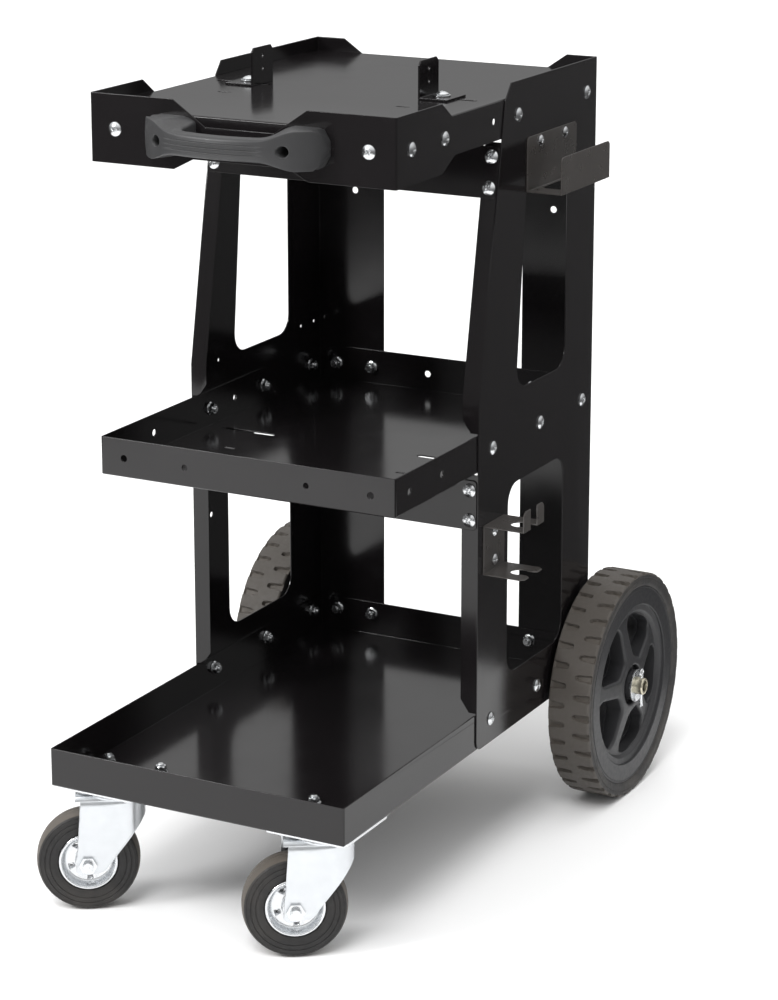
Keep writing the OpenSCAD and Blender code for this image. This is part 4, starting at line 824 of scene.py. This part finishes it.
def handle_height(h, spot):
    """Half the height at a place of the plan: eased from the grip into the pads, and round at the ends."""
    # The pads swell from one distance to the other, nearer the middle at the wall than at the front
    front = clamped(spot.y / h.reach)
    swell_from, swell_to = (34 + 11 * front) * MM, (62 + 26 * front) * MM
    eased = clamped((abs(spot.x) - swell_from) / (swell_to - swell_from))
    grip = h.grip_height / 2
    height = grip + (h.pad_height / 2 - grip) / 2 * (1 - math.cos(math.pi * eased))
    past = max(abs(spot.x) - (h.half - h.end_radius), 0)
    least = 0.2 * MM
    return max(min(height, math.sqrt(max(h.end_radius ** 2 - past ** 2, 0))), least)


def finger_gap(h, count):
    """Evenly spaced places along the edge of the gap for the fingers, round the back of the grip."""
    depth = h.reach - h.grip_depth
    corner, steps = depth * 0.45, 12
    inner = [Vector((-h.finger, 0.0))]
    for k in range(steps + 1):
        a = math.pi - math.pi / 2 * k / steps
        inner.append(Vector((-h.finger + corner + corner * math.cos(a),
                             depth - corner + corner * math.sin(a))))
    inner += [Vector((-spot.x, spot.y)) for spot in reversed(inner)]
    run = [0.0]
    for a, b in zip(inner, inner[1:]):
        run.append(run[-1] + (b - a).length)
    places = []
    for i in range(count + 1):
        goal = i / count * run[-1]
        k = max(k for k in range(len(run) - 1) if run[k] <= goal + 1e-12)
        places.append(inner[k].lerp(inner[k + 1], min((goal - run[k]) / (run[k + 1] - run[k]), 1)))
    return places


def grooved_face(h, outer, face, belly, fan):
    """The front face's (depth, height) places, from the lower to the upper edge, with three long grooves."""
    # Places across one groove, in millimetres from its deepest line
    offsets = (-0.85, -0.55, -0.25, 0, 0.25, 0.55, 0.85)
    # The grooves fade out at their ends, which lie a little left of the middle
    groove_end, fade_length, shift = 53 * MM, 6 * MM, 3 * MM
    fade = clamped((groove_end - abs(outer.x + shift)) / fade_length)
    levels = [(-face, 0)]
    for line in (-1, 0, 1, None):
        marks = [(face, 0)] if line is None else [
            (line * h.groove_pitch * fan + off * MM * min(fan, 1), 1 - (off / offsets[-1]) ** 2)
            for off in offsets]
        start = levels[-1][0]
        levels += [(start + (marks[0][0] - start) * q, 0) for q in (0.33, 0.67)]
        levels += marks
    levels.pop()
    section = []
    for z, sunk in levels:
        z = min(max(z, -face), face)
        section.append((belly * (z / max(face, 0.1 * MM)) ** 2 + h.groove * sunk * fade, z))
    return section


def handle_section(h, outer, back):
    """The (depth, height) outline of one section of the handle, from its front face to its back and round."""
    across = back - outer
    long, along = across.length, across.normalized()
    # Both edges are rounder on the grip than on the pads
    grip_end, change = 38 * MM, 34 * MM
    solid = clamped((abs(outer.x) - grip_end) / change)
    front_h, back_h = handle_height(h, outer), handle_height(h, back)
    front_round = min((3.8 - 2.7 * solid) * MM, front_h * 0.36)
    back_round = min((5.5 - 3.0 * solid) * MM, back_h * 0.6)
    belly = 0.9 * MM
    fan = min(front_h / (h.grip_height / 2), 1.7)
    section = grooved_face(h, outer, front_h - front_round, belly, fan)

    def height_at(deep):
        return handle_height(h, outer + along * deep)

    upper = []
    arc, top_steps = [math.pi / 2 * k / 6 for k in range(7)], 8
    for b in arc:
        deep = belly + front_round * (1 - math.cos(b))
        upper.append((deep, height_at(deep) - front_round * (1 - math.sin(b))))
    first, last = belly + front_round, long - back_round
    for k in range(1, top_steps):
        deep = first + (last - first) * k / top_steps
        upper.append((deep, height_at(deep)))
    for b in arc:
        deep = last + back_round * math.sin(b)
        upper.append((deep, height_at(deep) - back_round * (1 - math.cos(b))))
    section += upper
    section += [(long, upper[-1][1] * q) for q in (0.6, 0.2, -0.2, -0.6)]
    return section + [(deep, -z) for deep, z in reversed(upper)]


class CART_OT_handle(CartPiece, bpy.types.Operator):
    """The bow handle with its grooves and screws"""
    bl_idname = "cart.handle"
    bl_label = "Handle"

    def execute(self, context):
        h = context.scene.cart_handle
        low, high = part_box("handle")
        wall, middle = high.y, (low.z + high.z) / 2
        stations = 176
        bm = bmesh.new()
        rings = []
        for i, back in enumerate(finger_gap(h, stations)):
            a = math.pi * (1 - i / stations)
            outer = Vector((h.half * math.cos(a), h.reach * math.sin(a)))
            along = (back - outer).normalized()
            ring = []
            for deep, z in handle_section(h, outer, back):
                spot = outer + along * deep
                ring.append(bm.verts.new((spot.x, wall - max(spot.y, 0), middle + z)))
            rings.append(ring)
        joined(bm, rings)
        for end in (rings[0], rings[-1]):
            bm.faces.new(end)
        bmesh.ops.remove_doubles(bm, verts=bm.verts, dist=0.005 * MM)
        body = to_piece(bm, "handle_blank", handle_plastic(), 42)
        # Each screw has a counterbore from the front down to a web, and a clearance hole through that
        front, web, past, clearance = 60 * MM, 8 * MM, -2 * MM, 2.8 * MM
        for side in SIDES.values():
            drill = turned_shape([(0, front), (h.bore / 2, front), (h.bore / 2, web), (clearance, web),
                                  (clearance, past), (0, past)])
            bmesh.ops.rotate(drill, verts=drill.verts, matrix=Matrix.Rotation(math.pi / 2, 3, "X"))
            bmesh.ops.translate(drill, verts=drill.verts, vec=(side * h.screw, wall, middle))
            body = cut(body, to_piece(drill, "drill"), "bow_handle")
        hand_in(body, "frame", ["handle"])
        for node in ("handle_screws", "handle_nuts"):
            plated(node + "_zinc", node, context.scene.cart_sheet.small_edge)
        return {"FINISHED"}


def nut_for(f, grip, flange=True):
    """A nut of the frame, or the plain smaller one of the holders."""
    if flange:
        return flange_nut(f.nut_width, f.nut, f.flange, f.shank + 0.1 * MM, grip)
    return flange_nut(f.small_width, f.small_nut, 0, f.small_shank + 0.1 * MM, grip)


class CART_OT_bolts(CartPiece, bpy.types.Operator):
    """Bolts and nuts of the frame, of the holders and of the casters"""
    bl_idname = "cart.bolts"
    bl_label = "Bolts and nuts"

    def execute(self, context):
        f = context.scene.cart_fasteners
        sites = frame_sites()
        bolt = button_bolt(f.head, f.head_height, f.shank, f.grip, f.nut, f.spare)
        fasteners("frame_bolt_set", sites, bolt, ["tray_bolts", "crossbar_bolts", "guard_bolts"])
        fasteners("frame_nut_set", sites, nut_for(f, f.grip), ["tray_nuts", "crossbar_nuts", "guard_nuts"])

        panel_x = 163
        holders = [(place(panel_x, y, z), (1, 0, 0)) for y, z in
                   ((-77.5, 722), (-134.5, 722), (-229.5, 321.25), (-229.5, 350.75))]
        screw = button_bolt(f.small_head, f.small_height, f.small_shank, f.grip, f.small_nut, f.spare)
        fasteners("holder_screw_set", holders, screw, ["accessory_screws"])
        fasteners("holder_nut_set", holders, nut_for(f, f.grip, flange=False), ["accessory_nuts"])

        # The caster bolts stand head down, at the corners of a square round each kingpin
        c = context.scene.cart_casters
        plate_z, corner, head_height, length, grip = 128, 30, 4.6 * MM, 12.5 * MM, 4.5 * MM
        under = [(place(s * c.out / MM + x, -c.forward / MM + y, plate_z), (0, 0, -1))
                 for s in SIDES.values() for x in (-corner, corner) for y in (-corner, corner)]
        fasteners("caster_bolt_set", under, hex_head(f.nut_width, head_height, f.flange, f.shank, length),
                  ["caster_bolts"])
        fasteners("caster_nut_set", under, nut_for(f, grip), ["caster_nuts"])
        return {"FINISHED"}


class CART_OT_stops(CartPiece, bpy.types.Operator):
    """The two sliding stops on the top tray"""
    bl_idname = "cart.stops"
    bl_label = "Stops"

    def execute(self, context):
        f = context.scene.cart_fasteners
        grip, out, forward, deck_z = 5.15 * MM, 106, -235, 776.65
        for side, s in SIDES.items():
            body = side + "_stop"
            sheet(body + "_bracket", powder_coat(), body)
            plated(body + "_washer_zinc", body + "_washer", context.scene.cart_sheet.small_edge, body)
            site = [(place(s * out, forward, deck_z), (0, 0, 1))]
            bolt = button_bolt(f.head, f.head_height, f.shank, grip, f.nut, f.spare)
            fasteners(body + "_bolt", site, bolt, [body + "_screw"], body)
            fasteners(body + "_flange_nut", site, nut_for(f, grip + 0.05 * MM), [body + "_nut"], body)
        return {"FINISHED"}


class CART_OT_axle(CartPiece, bpy.types.Operator):
    """The rear axle with its washers and split pins"""
    bl_idname = "cart.axle"
    bl_label = "Rear axle"

    def execute(self, context):
        edge, wire_edge = context.scene.cart_sheet.small_edge, 0.1 * MM
        hand_in(softened("rear_axle_tube", "rear_axle", edge, yellow_zinc()),
                "frame", ["rear_axle"])
        plated("axle_washer_set", "axle_washers", edge)
        plated("split_pin_set", "split_pins", wire_edge)
        return {"FINISHED"}


def ring_tree():
    """Sets one pitch of a wheel round its axle, and its mirrored other half, which may be shifted."""
    tree, start, ids = new_tree("ring", {
        "Pitch": "Geometry", "Count": "Int", "First": "Float", "Shift": "Float", "Axle": "Vector",
        "Merge": "Float", "Finish": "Material"})
    step = add(tree, "ShaderNodeMath", {0: math.tau}, {1: start.outputs["Count"]}, operation="DIVIDE")
    halves = add(tree, "GeometryNodeJoinGeometry")
    for mirrored in (False, True):
        spots = add(tree, "GeometryNodePoints", None, {"Count": start.outputs["Count"]})
        number = add(tree, "GeometryNodeInputIndex").outputs[0]
        pitch = start.outputs["Pitch"]
        if mirrored:
            number = add(tree, "ShaderNodeMath", None, {0: number, 1: start.outputs["Shift"]},
                         operation="ADD").outputs[0]
            pitch = add(tree, "GeometryNodeTransform", {"Scale": (-1, 1, 1)}, {"Geometry": pitch}).outputs[0]
            pitch = add(tree, "GeometryNodeFlipFaces", None, {"Mesh": pitch}).outputs[0]
        way = add(tree, "ShaderNodeMath", None, {
            0: number, 1: step.outputs[0], 2: start.outputs["First"]}, operation="MULTIPLY_ADD")
        turn = add(tree, "ShaderNodeCombineXYZ", None, {"X": way.outputs[0]})
        half = add(tree, "GeometryNodeInstanceOnPoints", None, {
            "Points": spots.outputs[0], "Instance": pitch, "Rotation": turn.outputs[0]})
        tree.links.new(half.outputs["Instances"], halves.inputs[0])
    real = add(tree, "GeometryNodeRealizeInstances", None, {"Geometry": halves.outputs[0]})
    whole = add(tree, "GeometryNodeMergeByDistance", None, {
        "Geometry": real.outputs[0], "Distance": start.outputs["Merge"]})
    carried = add(tree, "GeometryNodeTransform", None, {
        "Geometry": whole.outputs[0], "Translation": start.outputs["Axle"]})
    end_tree(tree, carried.outputs[0], start.outputs["Finish"])
    return tree, ids


def tread_pitch(w):
    """One pitch of half the tyre, from the middle of the tread to the bead, round local X."""
    half, rib, shoulder = w.width / 2, w.rib, w.shoulder
    crown = w.radius - shoulder
    # Across the tread, closest together where the grooves' round ends lie, then round the shoulder
    profile = [(x * MM, w.radius) for x in (0, 1.5, 3.2, 4.2, 4.8, 5.6, 6.6, 8, 10, 12, 14, 16, 17.5, 19, 20)]
    for i in range(7):
        a = math.pi / 2 * i / 6
        profile.append((half - shoulder + shoulder * math.sin(a), crown + shoulder * math.cos(a)))
    # Down the side wall, past a thin raised line, to the bead and in over the rim
    seat = w.rim + 0.1 * MM
    profile += [(half, w.radius - 5 * MM), (half - 0.5 * MM, w.radius - 5.5 * MM),
                (half - 0.5 * MM, w.radius - 6.3 * MM), (half, w.radius - 6.8 * MM),
                (half - 0.2 * MM, w.radius - 10 * MM), (half - 1.0 * MM, w.rim + 1.2 * MM),
                (half - 2.2 * MM, seat), (half - 5 * MM, seat), (0, seat)]
    bm = bmesh.new()
    worn = bm.verts.layers.float.new("worn")
    columns = 24
    pitch = math.tau / w.grooves
    # A groove's half width at its round inner end and at the shoulder, its banks, and its depth's fade
    near, wide, bank, fade = 2.5 * MM, 4.2 * MM, 0.7 * MM, 2.2 * MM
    # Partly painted light: the tread is painted lighter than the side walls, and the groove floors lighter
    # still, where the light falls, besides real tread wear and bloom
    tread_lightening, groove_bloom_and_light = 0.36, 0.15
    rows = []
    for x, r in profile:
        row = []
        for k in range(columns + 1):
            t = k / columns - 0.5
            along = t * pitch * w.radius
            inside = near + (wide - near) * clamped((x - rib) / (half - rib)) - abs(along)
            if x < rib + near:
                inside = near - math.hypot(x - rib - near, along)
            sunk = clamped(inside / bank)
            sunk = sunk * sunk * (3 - 2 * sunk)
            edge = clamped((half - x) / fade)
            radius = r - w.depth * sunk * (0.1 + 0.9 * edge) * (r > crown)
            spot = bm.verts.new((x, radius * math.cos(t * pitch), radius * math.sin(t * pitch)))
            # Bloom colour on the tread and in the grooves: wear, and painted light of the lit tread and
            # groove floors
            spot[worn] = groove_bloom_and_light * sunk * edge + (tread_lightening if r > crown else 0)
            row.append(spot)
        rows.append(row)
    strips(bm, rows)
    return loose(bm, "tread_pitch")


def strips(bm, rows):
    """Faces between open rows of places."""
    for low, high in zip(rows, rows[1:]):
        for k in range(len(low) - 1):
            bm.faces.new((low[k], low[k + 1], high[k + 1], high[k]))


def crossing(start, ray, outline):
    """The farthest place where a ray crosses a closed outline."""
    best = 0
    for a, b in zip(outline, outline[1:] + outline[:1]):
        span, to = b - a, a - start
        det = ray.x * span.y - ray.y * span.x
        if abs(det) < 1e-12:
            continue
        far = (to.x * span.y - to.y * span.x) / det
        on = (to.x * ray.y - to.y * ray.x) / det
        if far > best and -1e-6 <= on <= 1 + 1e-6:
            best = far
    return start + ray * best


def hub_pitch(w):
    """One spoke-to-spoke fifth of half the hub round local X: spoke face, window, rim bands and boss."""
    half = math.pi / w.spokes

    def polar(radius, way):
        return Vector((radius * math.cos(way), radius * math.sin(way)))

    def face_at(spot):
        rise = clamped((w.disc - spot.length) / (w.disc - w.boss))
        return w.disc_half + (w.boss_half - w.disc_half) * rise

    # The border of the pitch: along the rim, in along one spoke's middle, round the boss and out again
    arc, side, core = 40, 20, 16
    border = [polar(w.disc, -half + 2 * half * k / arc) for k in range(arc)]
    border += [polar(w.disc + (w.boss - w.disc) * k / side, half) for k in range(side)]
    border += [polar(w.boss, half - 2 * half * k / core) for k in range(core)]
    border += [polar(w.boss + (w.disc - w.boss) * k / side, -half) for k in range(side)]
    count = len(border)

    # The window's corners as (distance out, half width, rounding): by the boss, at its widest, by the rim
    half_spoke, widest = 7.5 * MM, 67.4 * MM
    wide = widest * math.tan(half) - half_spoke / math.cos(half)
    corners = [(30.5 * MM, 9.8 * MM, 9.6 * MM), (widest, wide, 12 * MM), (74.7 * MM, 12.3 * MM, 18 * MM)]
    window = rounded([(x, -y, r) for x, y, r in corners] + corners[::-1], 16)
    centre = Vector((57 * MM, 0))
    edge = [crossing(centre, (spot - centre).normalized(), window) for spot in border]
    outward = []
    for k in range(count):
        span = edge[(k + 1) % count] - edge[k - 1]
        normal = Vector((span.y, -span.x)).normalized()
        outward.append(normal if normal.dot(border[k] - edge[k]) > 0 else -normal)

    # Loops of (place, height) from the parting lip out over the rounded edge and the face to the border
    lip_height = 1.5 * MM
    loops = [[(edge[k] - outward[k] * w.lip, 0) for k in range(count)],
             [(edge[k] - outward[k] * w.lip, lip_height) for k in range(count)],
             [(edge[k], lip_height) for k in range(count)]]
    bend = [min(w.edge, 0.55 * (border[k] - edge[k]).dot(outward[k])) for k in range(count)]
    steps = 5
    for step in range(steps + 1):
        b = math.pi / 2 * step / steps
        spots = [edge[k] + outward[k] * bend[k] * (1 - math.cos(b)) for k in range(count)]
        loops.append([(spot, face_at(spot) - bend[k] * (1 - math.sin(b))) for k, spot in enumerate(spots)])
    inner = [spot for spot, _ in loops[-1]]
    for step in range(1, steps + 1):
        spots = [inner[k].lerp(border[k], step / steps) for k in range(count)]
        loops.append([(spot, face_at(spot)) for spot in spots])
    bm = bmesh.new()
    rings = [[bm.verts.new((height, *spot)) for spot, height in places] for places in loops]
    strips(bm, [[*ring, ring[0]] for ring in rings])

    def band(profile, count):
        strips(bm, [[bm.verts.new((height * MM, *polar(radius * MM, -half + 2 * half * k / count)))
                     for k in range(count + 1)] for radius, height in profile])

    # (radius, height) in millimetres: out from the spokes over the lipped rim, and in over the pocketed boss
    rim, disc, boss, low, high = (value / MM for value in (w.rim, w.disc, w.boss, w.disc_half, w.boss_half))
    band([(disc, low), (77.6, 15.2), (79, 17.4), (80, 18), (84.8, 18), (85.6, 18.5), (85.9, 20.4),
          (86.6, 21), (102.4, 21), (102.9, 20.4), (103.9, 20.4), (104.3, 20.8), (rim - 0.4, 20.8),
          (rim, 20.3), (rim, 0)], arc)
    band([(boss, high), (22.6, high), (21.8, 20.7), (21.4, 20), (21.3, 13.4), (20.9, 13), (16.8, 13),
          (16.2, 13.4), (16, 14), (16, 23.4), (15.4, 24), (9.7, 24), (9.06, 23.4), (9.06, 0)], core)
    bmesh.ops.remove_doubles(bm, verts=bm.verts, dist=0.005 * MM)
    return loose(bm, "hub_pitch")


class CART_OT_rear_wheels(CartPiece, bpy.types.Operator):
    """The rear wheels: treaded tyres on spoked hubs"""
    bl_idname = "cart.rear_wheels"
    bl_label = "Rear wheels"

    def execute(self, context):
        w = context.scene.cart_wheels
        tree, ids = ring_tree()
        for side in SIDES:
            body = side + "_wheel"
            low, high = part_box(body + "_tyre")
            for name, pitch, values, finish, slot, node in (
                ("treaded_tyre", tread_pitch(w), {"Count": w.grooves, "First": 0.0, "Shift": 0.5},
                 tyre_rubber(), "tyre_rubber", "tyre"),
                ("spoked_hub", hub_pitch(w), {"Count": w.spokes, "First": w.first, "Shift": 0.0},
                 hub_plastic(), "hub_plastic", "hub"),
            ):
                raw = grown(pitch, name + "_raw", tree, ids, {
                    **values, "Axle": (low + high) / 2, "Merge": 0.01 * MM, "Finish": finish})
                bm = bmesh.new()
                bm.from_mesh(raw.data)
                bpy.data.objects.remove(raw)
                hand_in(to_piece(bm, f"{body}_{name}", finish, 40), body, [f"{body}_{node}"])
        return {"FINISHED"}


def fork_legs(c, name, finish):
    """The fork's legs and the round skirt that joins them, one bent sheet; local +X is the way of trail."""
    shoulder, skirt_rise, above = 115 * MM, 3.6 * MM, 130 * MM
    axle = Vector((c.trail, c.radius))
    nose = 11.5 * MM
    front, back = axle.x + nose, -40 * MM
    # The lower edge seen from the side, from behind the kingpin down to the round nose at the axle
    outline = rounded([
        (back, 114.5 * MM, 0.1 * MM), (axle.x - 15 * MM, axle.y - 8.2 * MM, 14 * MM),
        (front, axle.y - nose, 5 * MM), (front, above, 0.1 * MM), (back, above, 0.1 * MM)])

    def foot_at(x):
        lowest = shoulder
        for a, b in zip(outline, outline[1:] + outline[:1]):
            if min(a.x, b.x) <= x <= max(a.x, b.x) and abs(b.x - a.x) > 1e-9:
                lowest = min(lowest, a.y + (b.y - a.y) * (x - a.x) / (b.x - a.x))
        return lowest

    # Plan of the sheet's outer face as (place, way out): one leg, round the back, and the other leg
    stride = 3 * MM
    xs = [front, front - 0.3 * MM, front - 1.2 * MM, front - 2.8 * MM, front - 5 * MM]
    while xs[-1] - stride > -c.bend:
        xs.append(xs[-1] - stride)
    leg = [(Vector((x, c.across)), Vector((0, 1))) for x in xs]
    turn = []
    for k in range(33):
        a = math.pi * k / 32
        turn.append((Vector((-c.bend - c.skirt * math.sin(a), c.across * math.cos(a))),
                     Vector((-math.sin(a) * c.across, math.cos(a) * c.skirt)).normalized()))
    plan = leg + turn + [(Vector((spot.x, -spot.y)), Vector((0, -1))) for spot, _ in reversed(leg)]

    # The legs' front edge leans back above the nose; the lean dies out towards the kingpin
    lean, lean_from, lean_height = 5 * MM, axle.y - 8 * MM, 70 * MM
    lean_end, lean_run = 8 * MM, 33 * MM
    rows = 12
    bm = bmesh.new()
    sheets = []
    for inset in (0, c.sheet):
        columns = []
        for spot, normal in plan:
            foot = foot_at(max(spot.x, back + 1 * MM))
            top = shoulder if spot.x > -c.bend - 0.1 * MM else shoulder + skirt_rise
            share = clamped((spot.x - lean_end) / lean_run)
            column = []
            for k in range(rows + 1):
                z = foot + (top - foot) * k / rows
                x = spot.x - lean * max(z - lean_from, 0) / lean_height * share - normal.x * inset
                column.append(bm.verts.new((x, spot.y - normal.y * inset, z)))
            columns.append(column)
        sheets.append(columns)
    outer, inner = sheets
    for i in range(len(plan) - 1):
        for k in range(rows):
            bm.faces.new((outer[i][k], outer[i + 1][k], outer[i + 1][k + 1], outer[i][k + 1]))
            bm.faces.new((inner[i][k + 1], inner[i + 1][k + 1], inner[i + 1][k], inner[i][k]))
        bm.faces.new((outer[i][0], inner[i][0], inner[i + 1][0], outer[i + 1][0]))
        bm.faces.new((outer[i][rows], outer[i + 1][rows], inner[i + 1][rows], inner[i][rows]))
    for i in (0, len(plan) - 1):
        for k in range(rows):
            quad = (outer[i][k], outer[i][k + 1], inner[i][k + 1], inner[i][k])
            bm.faces.new(quad if i == 0 else quad[::-1])
    return to_piece(bm, name, finish, 30)


def box_piece(low, high, name):
    """A plain box to cut with."""
    bm = bmesh.new()
    bmesh.ops.create_cube(bm, size=1)
    for v in bm.verts:
        v.co = Vector([low[i] if v.co[i] < 0 else high[i] for i in range(3)])
    return to_piece(bm, name)


def moved(piece, matrix):
    """Moves a piece's mesh, so that the object stays at the origin."""
    piece.data.transform(matrix)
    piece.data.update()
    return piece


class CART_OT_casters(CartPiece, bpy.types.Operator):
    """The swivel casters without their wheels"""
    bl_idname = "cart.casters"
    bl_label = "Casters"

    def execute(self, context):
        edge, fine = context.scene.cart_sheet.plate_edge, 0.2 * MM
        c = context.scene.cart_casters
        for side, s in SIDES.items():
            name = side + "_caster"
            plated(name + "_plate_dressed", name + "_plate", edge)
            plated(name + "_kingpin_dressed", name + "_kingpin", fine)
            balls = name + "_balls"
            hand_in(softened(balls + "_dressed", balls, fine, ball_steel()),
                    "frame", [balls])
            for part in ("cup", "axle", "axle_nut", "sleeve"):
                node = f"{name}_{part}"
                plated(node + "_dressed", node, fine, name)

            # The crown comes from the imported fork; the legs and the skirt under it are drawn anew
            kingpin = place(s * c.out / MM, -c.forward / MM, 0)
            local = Matrix.Translation(kingpin) @ Matrix.Rotation(c.heading, 4, "Z")
            crown = moved(softened("crown", name + "_fork", 0.3 * MM, fork_zinc()), local.inverted())
            far, leg_top, skirt_top = 0.1, 114.9 * MM, 118.45 * MM
            crown = cut(crown, box_piece((-far, -far, 0), (far, far, leg_top), "below"), "crown")
            crown = cut(crown, box_piece((-far, -far, far), (-c.bend, far, skirt_top), "behind"), "crown")
            legs = bevelled(fork_legs(c, "legs", fork_zinc()), "legs", edge, 40)
            bm = bmesh.new()
            for part in (crown, legs):
                bm.from_mesh(part.data)
                bpy.data.objects.remove(part)
            fork = moved(to_piece(bm, name + "_fork_dressed", fork_zinc(), 32), local)
            hand_in(fork, name, [name + "_fork"])
        return {"FINISHED"}


def caster_rim(c):
    """Half the pressed rim's section: (radius, distance from the middle) in millimetres, from the hub out."""
    hub = c.hub / MM
    return [(8.06, hub - 0.4), (8.5, hub), (11.5, hub), (12, hub - 0.5), (12, 6.6), (12.8, 5.6), (14, 5.2),
            (21.6, 5.2), (23, 5.7), (24, 7), (24.9, 9.4), (25.2, 12.2), (25.6, 13.2), (26.3, 13.9),
            (27.2, 14.1), (28.1, 13.8), (28.7, 13.1), (28.9, 12.2), (29.6, 7.5), (33.9, 6)]


def caster_tyre(c):
    """Half the tyre's section likewise, from its foot in the rim, past two thin lines, to the tread."""
    half, radius = c.half / MM, c.radius / MM
    return [(34.1, 6), (29.8, 7.6), (29.1, 12.6), (29.6, 13.7), (30.4, 13.9), (32, half - 0.3), (34, half),
            (36.4, half), (36.7, half - 0.5), (37.3, half - 0.5), (37.6, half), (41.2, half),
            (41.5, half - 0.5), (42.1, half - 0.5), (42.4, half), (45.4, half - 0.2), (45.7, half - 0.6),
            (46.2, half - 0.6), (46.5, half - 0.4), (radius - 2.9, half - 0.8), (radius - 2.1, half - 1.6),
            (radius - 1.6, half - 2.8), (radius - 0.9, half - 5), (radius - 0.2, half - 9), (radius, 3.4),
            (radius - 0.5, 3), (radius - 0.5, 2.5), (radius, 2.1)]


def rim_holes(c):
    """Five drills for the holes in a pressed rim."""
    bm = bmesh.new()
    count, circle = 5, 18.2 * MM
    for k in range(count):
        a = math.tau * (k + 0.25) / count
        made = bmesh.ops.create_cone(bm, cap_ends=True, segments=24, radius1=c.hole / 2,
                                     radius2=c.hole / 2, depth=60 * MM)["verts"]
        bmesh.ops.translate(bm, verts=made, vec=(circle * math.cos(a), circle * math.sin(a), 0))
    return to_piece(bm, "holes")


class CART_OT_caster_wheels(CartPiece, bpy.types.Operator):
    """The caster wheels: pressed rims with rubber tyres"""
    bl_idname = "cart.caster_wheels"
    bl_label = "Caster wheels"

    def execute(self, context):
        c = context.scene.cart_casters
        axle = Vector((-math.sin(c.heading), math.cos(c.heading), 0))
        spin = Vector((0, 0, 1)).rotation_difference(axle).to_matrix().to_4x4()
        tread_band, tread_lightening = 1.8 * MM, 0.6
        for side in SIDES:
            body = side + "_caster_wheel"
            for part, profile, finish, slot in (("rim", caster_rim(c), bright_zinc(), "bright_zinc"),
                                                ("tyre", caster_tyre(c), caster_rubber(), "caster_rubber")):
                node = f"{side}_caster_{part}"
                low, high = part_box(node)
                whole = profile + [(r, -x) for r, x in reversed(profile)]
                bm = turned_shape([(r * MM, x * MM) for r, x in whole], 96, closed=True)
                if part == "tyre":
                    worn = bm.verts.layers.float.new("worn")
                    for v in bm.verts:
                        v[worn] = tread_lightening if math.hypot(v.co.x, v.co.y) > c.radius - tread_band else 0
                piece = to_piece(bm, node + "_turned", finish, 38)
                if part == "rim":
                    piece = cut(piece, rim_holes(c), node + "_turned")
                hand_in(moved(piece, Matrix.Translation((low + high) / 2) @ spin), body, [node])
        return {"FINISHED"}


OPERATORS = (
    CART_OT_studio, CART_OT_trays, CART_OT_panels, CART_OT_bars, CART_OT_holders, CART_OT_handle,
    CART_OT_bolts, CART_OT_stops, CART_OT_axle, CART_OT_rear_wheels, CART_OT_casters,
    CART_OT_caster_wheels,
)


class CART_PT_build(bpy.types.Panel):
    """Lists what builds the cart"""
    bl_idname = "CART_PT_build"
    bl_label = "Welding cart"
    bl_space_type = "VIEW_3D"
    bl_region_type = "UI"
    bl_category = "Cart"

    def draw(self, context):
        for operator in OPERATORS:
            self.layout.operator(operator.bl_idname)
        for group in GROUPS:
            column = self.layout.column(heading=group)
            for key in GROUPS[group].__annotations__:
                column.prop(getattr(context.scene, group), key)


def register():
    for group, kind in GROUPS.items():
        bpy.utils.register_class(kind)
        setattr(bpy.types.Scene, group, PointerProperty(type=kind))
    for operator in OPERATORS:
        bpy.utils.register_class(operator)
    bpy.utils.register_class(CART_PT_build)


def unregister():
    bpy.utils.unregister_class(CART_PT_build)
    for operator in reversed(OPERATORS):
        bpy.utils.unregister_class(operator)
    for group, kind in reversed(GROUPS.items()):
        delattr(bpy.types.Scene, group)
        bpy.utils.unregister_class(kind)


def main():
    register()
    for operator in OPERATORS:
        family, name = operator.bl_idname.split(".")
        getattr(getattr(bpy.ops, family), name)()


if __name__ == "__main__":
    main()
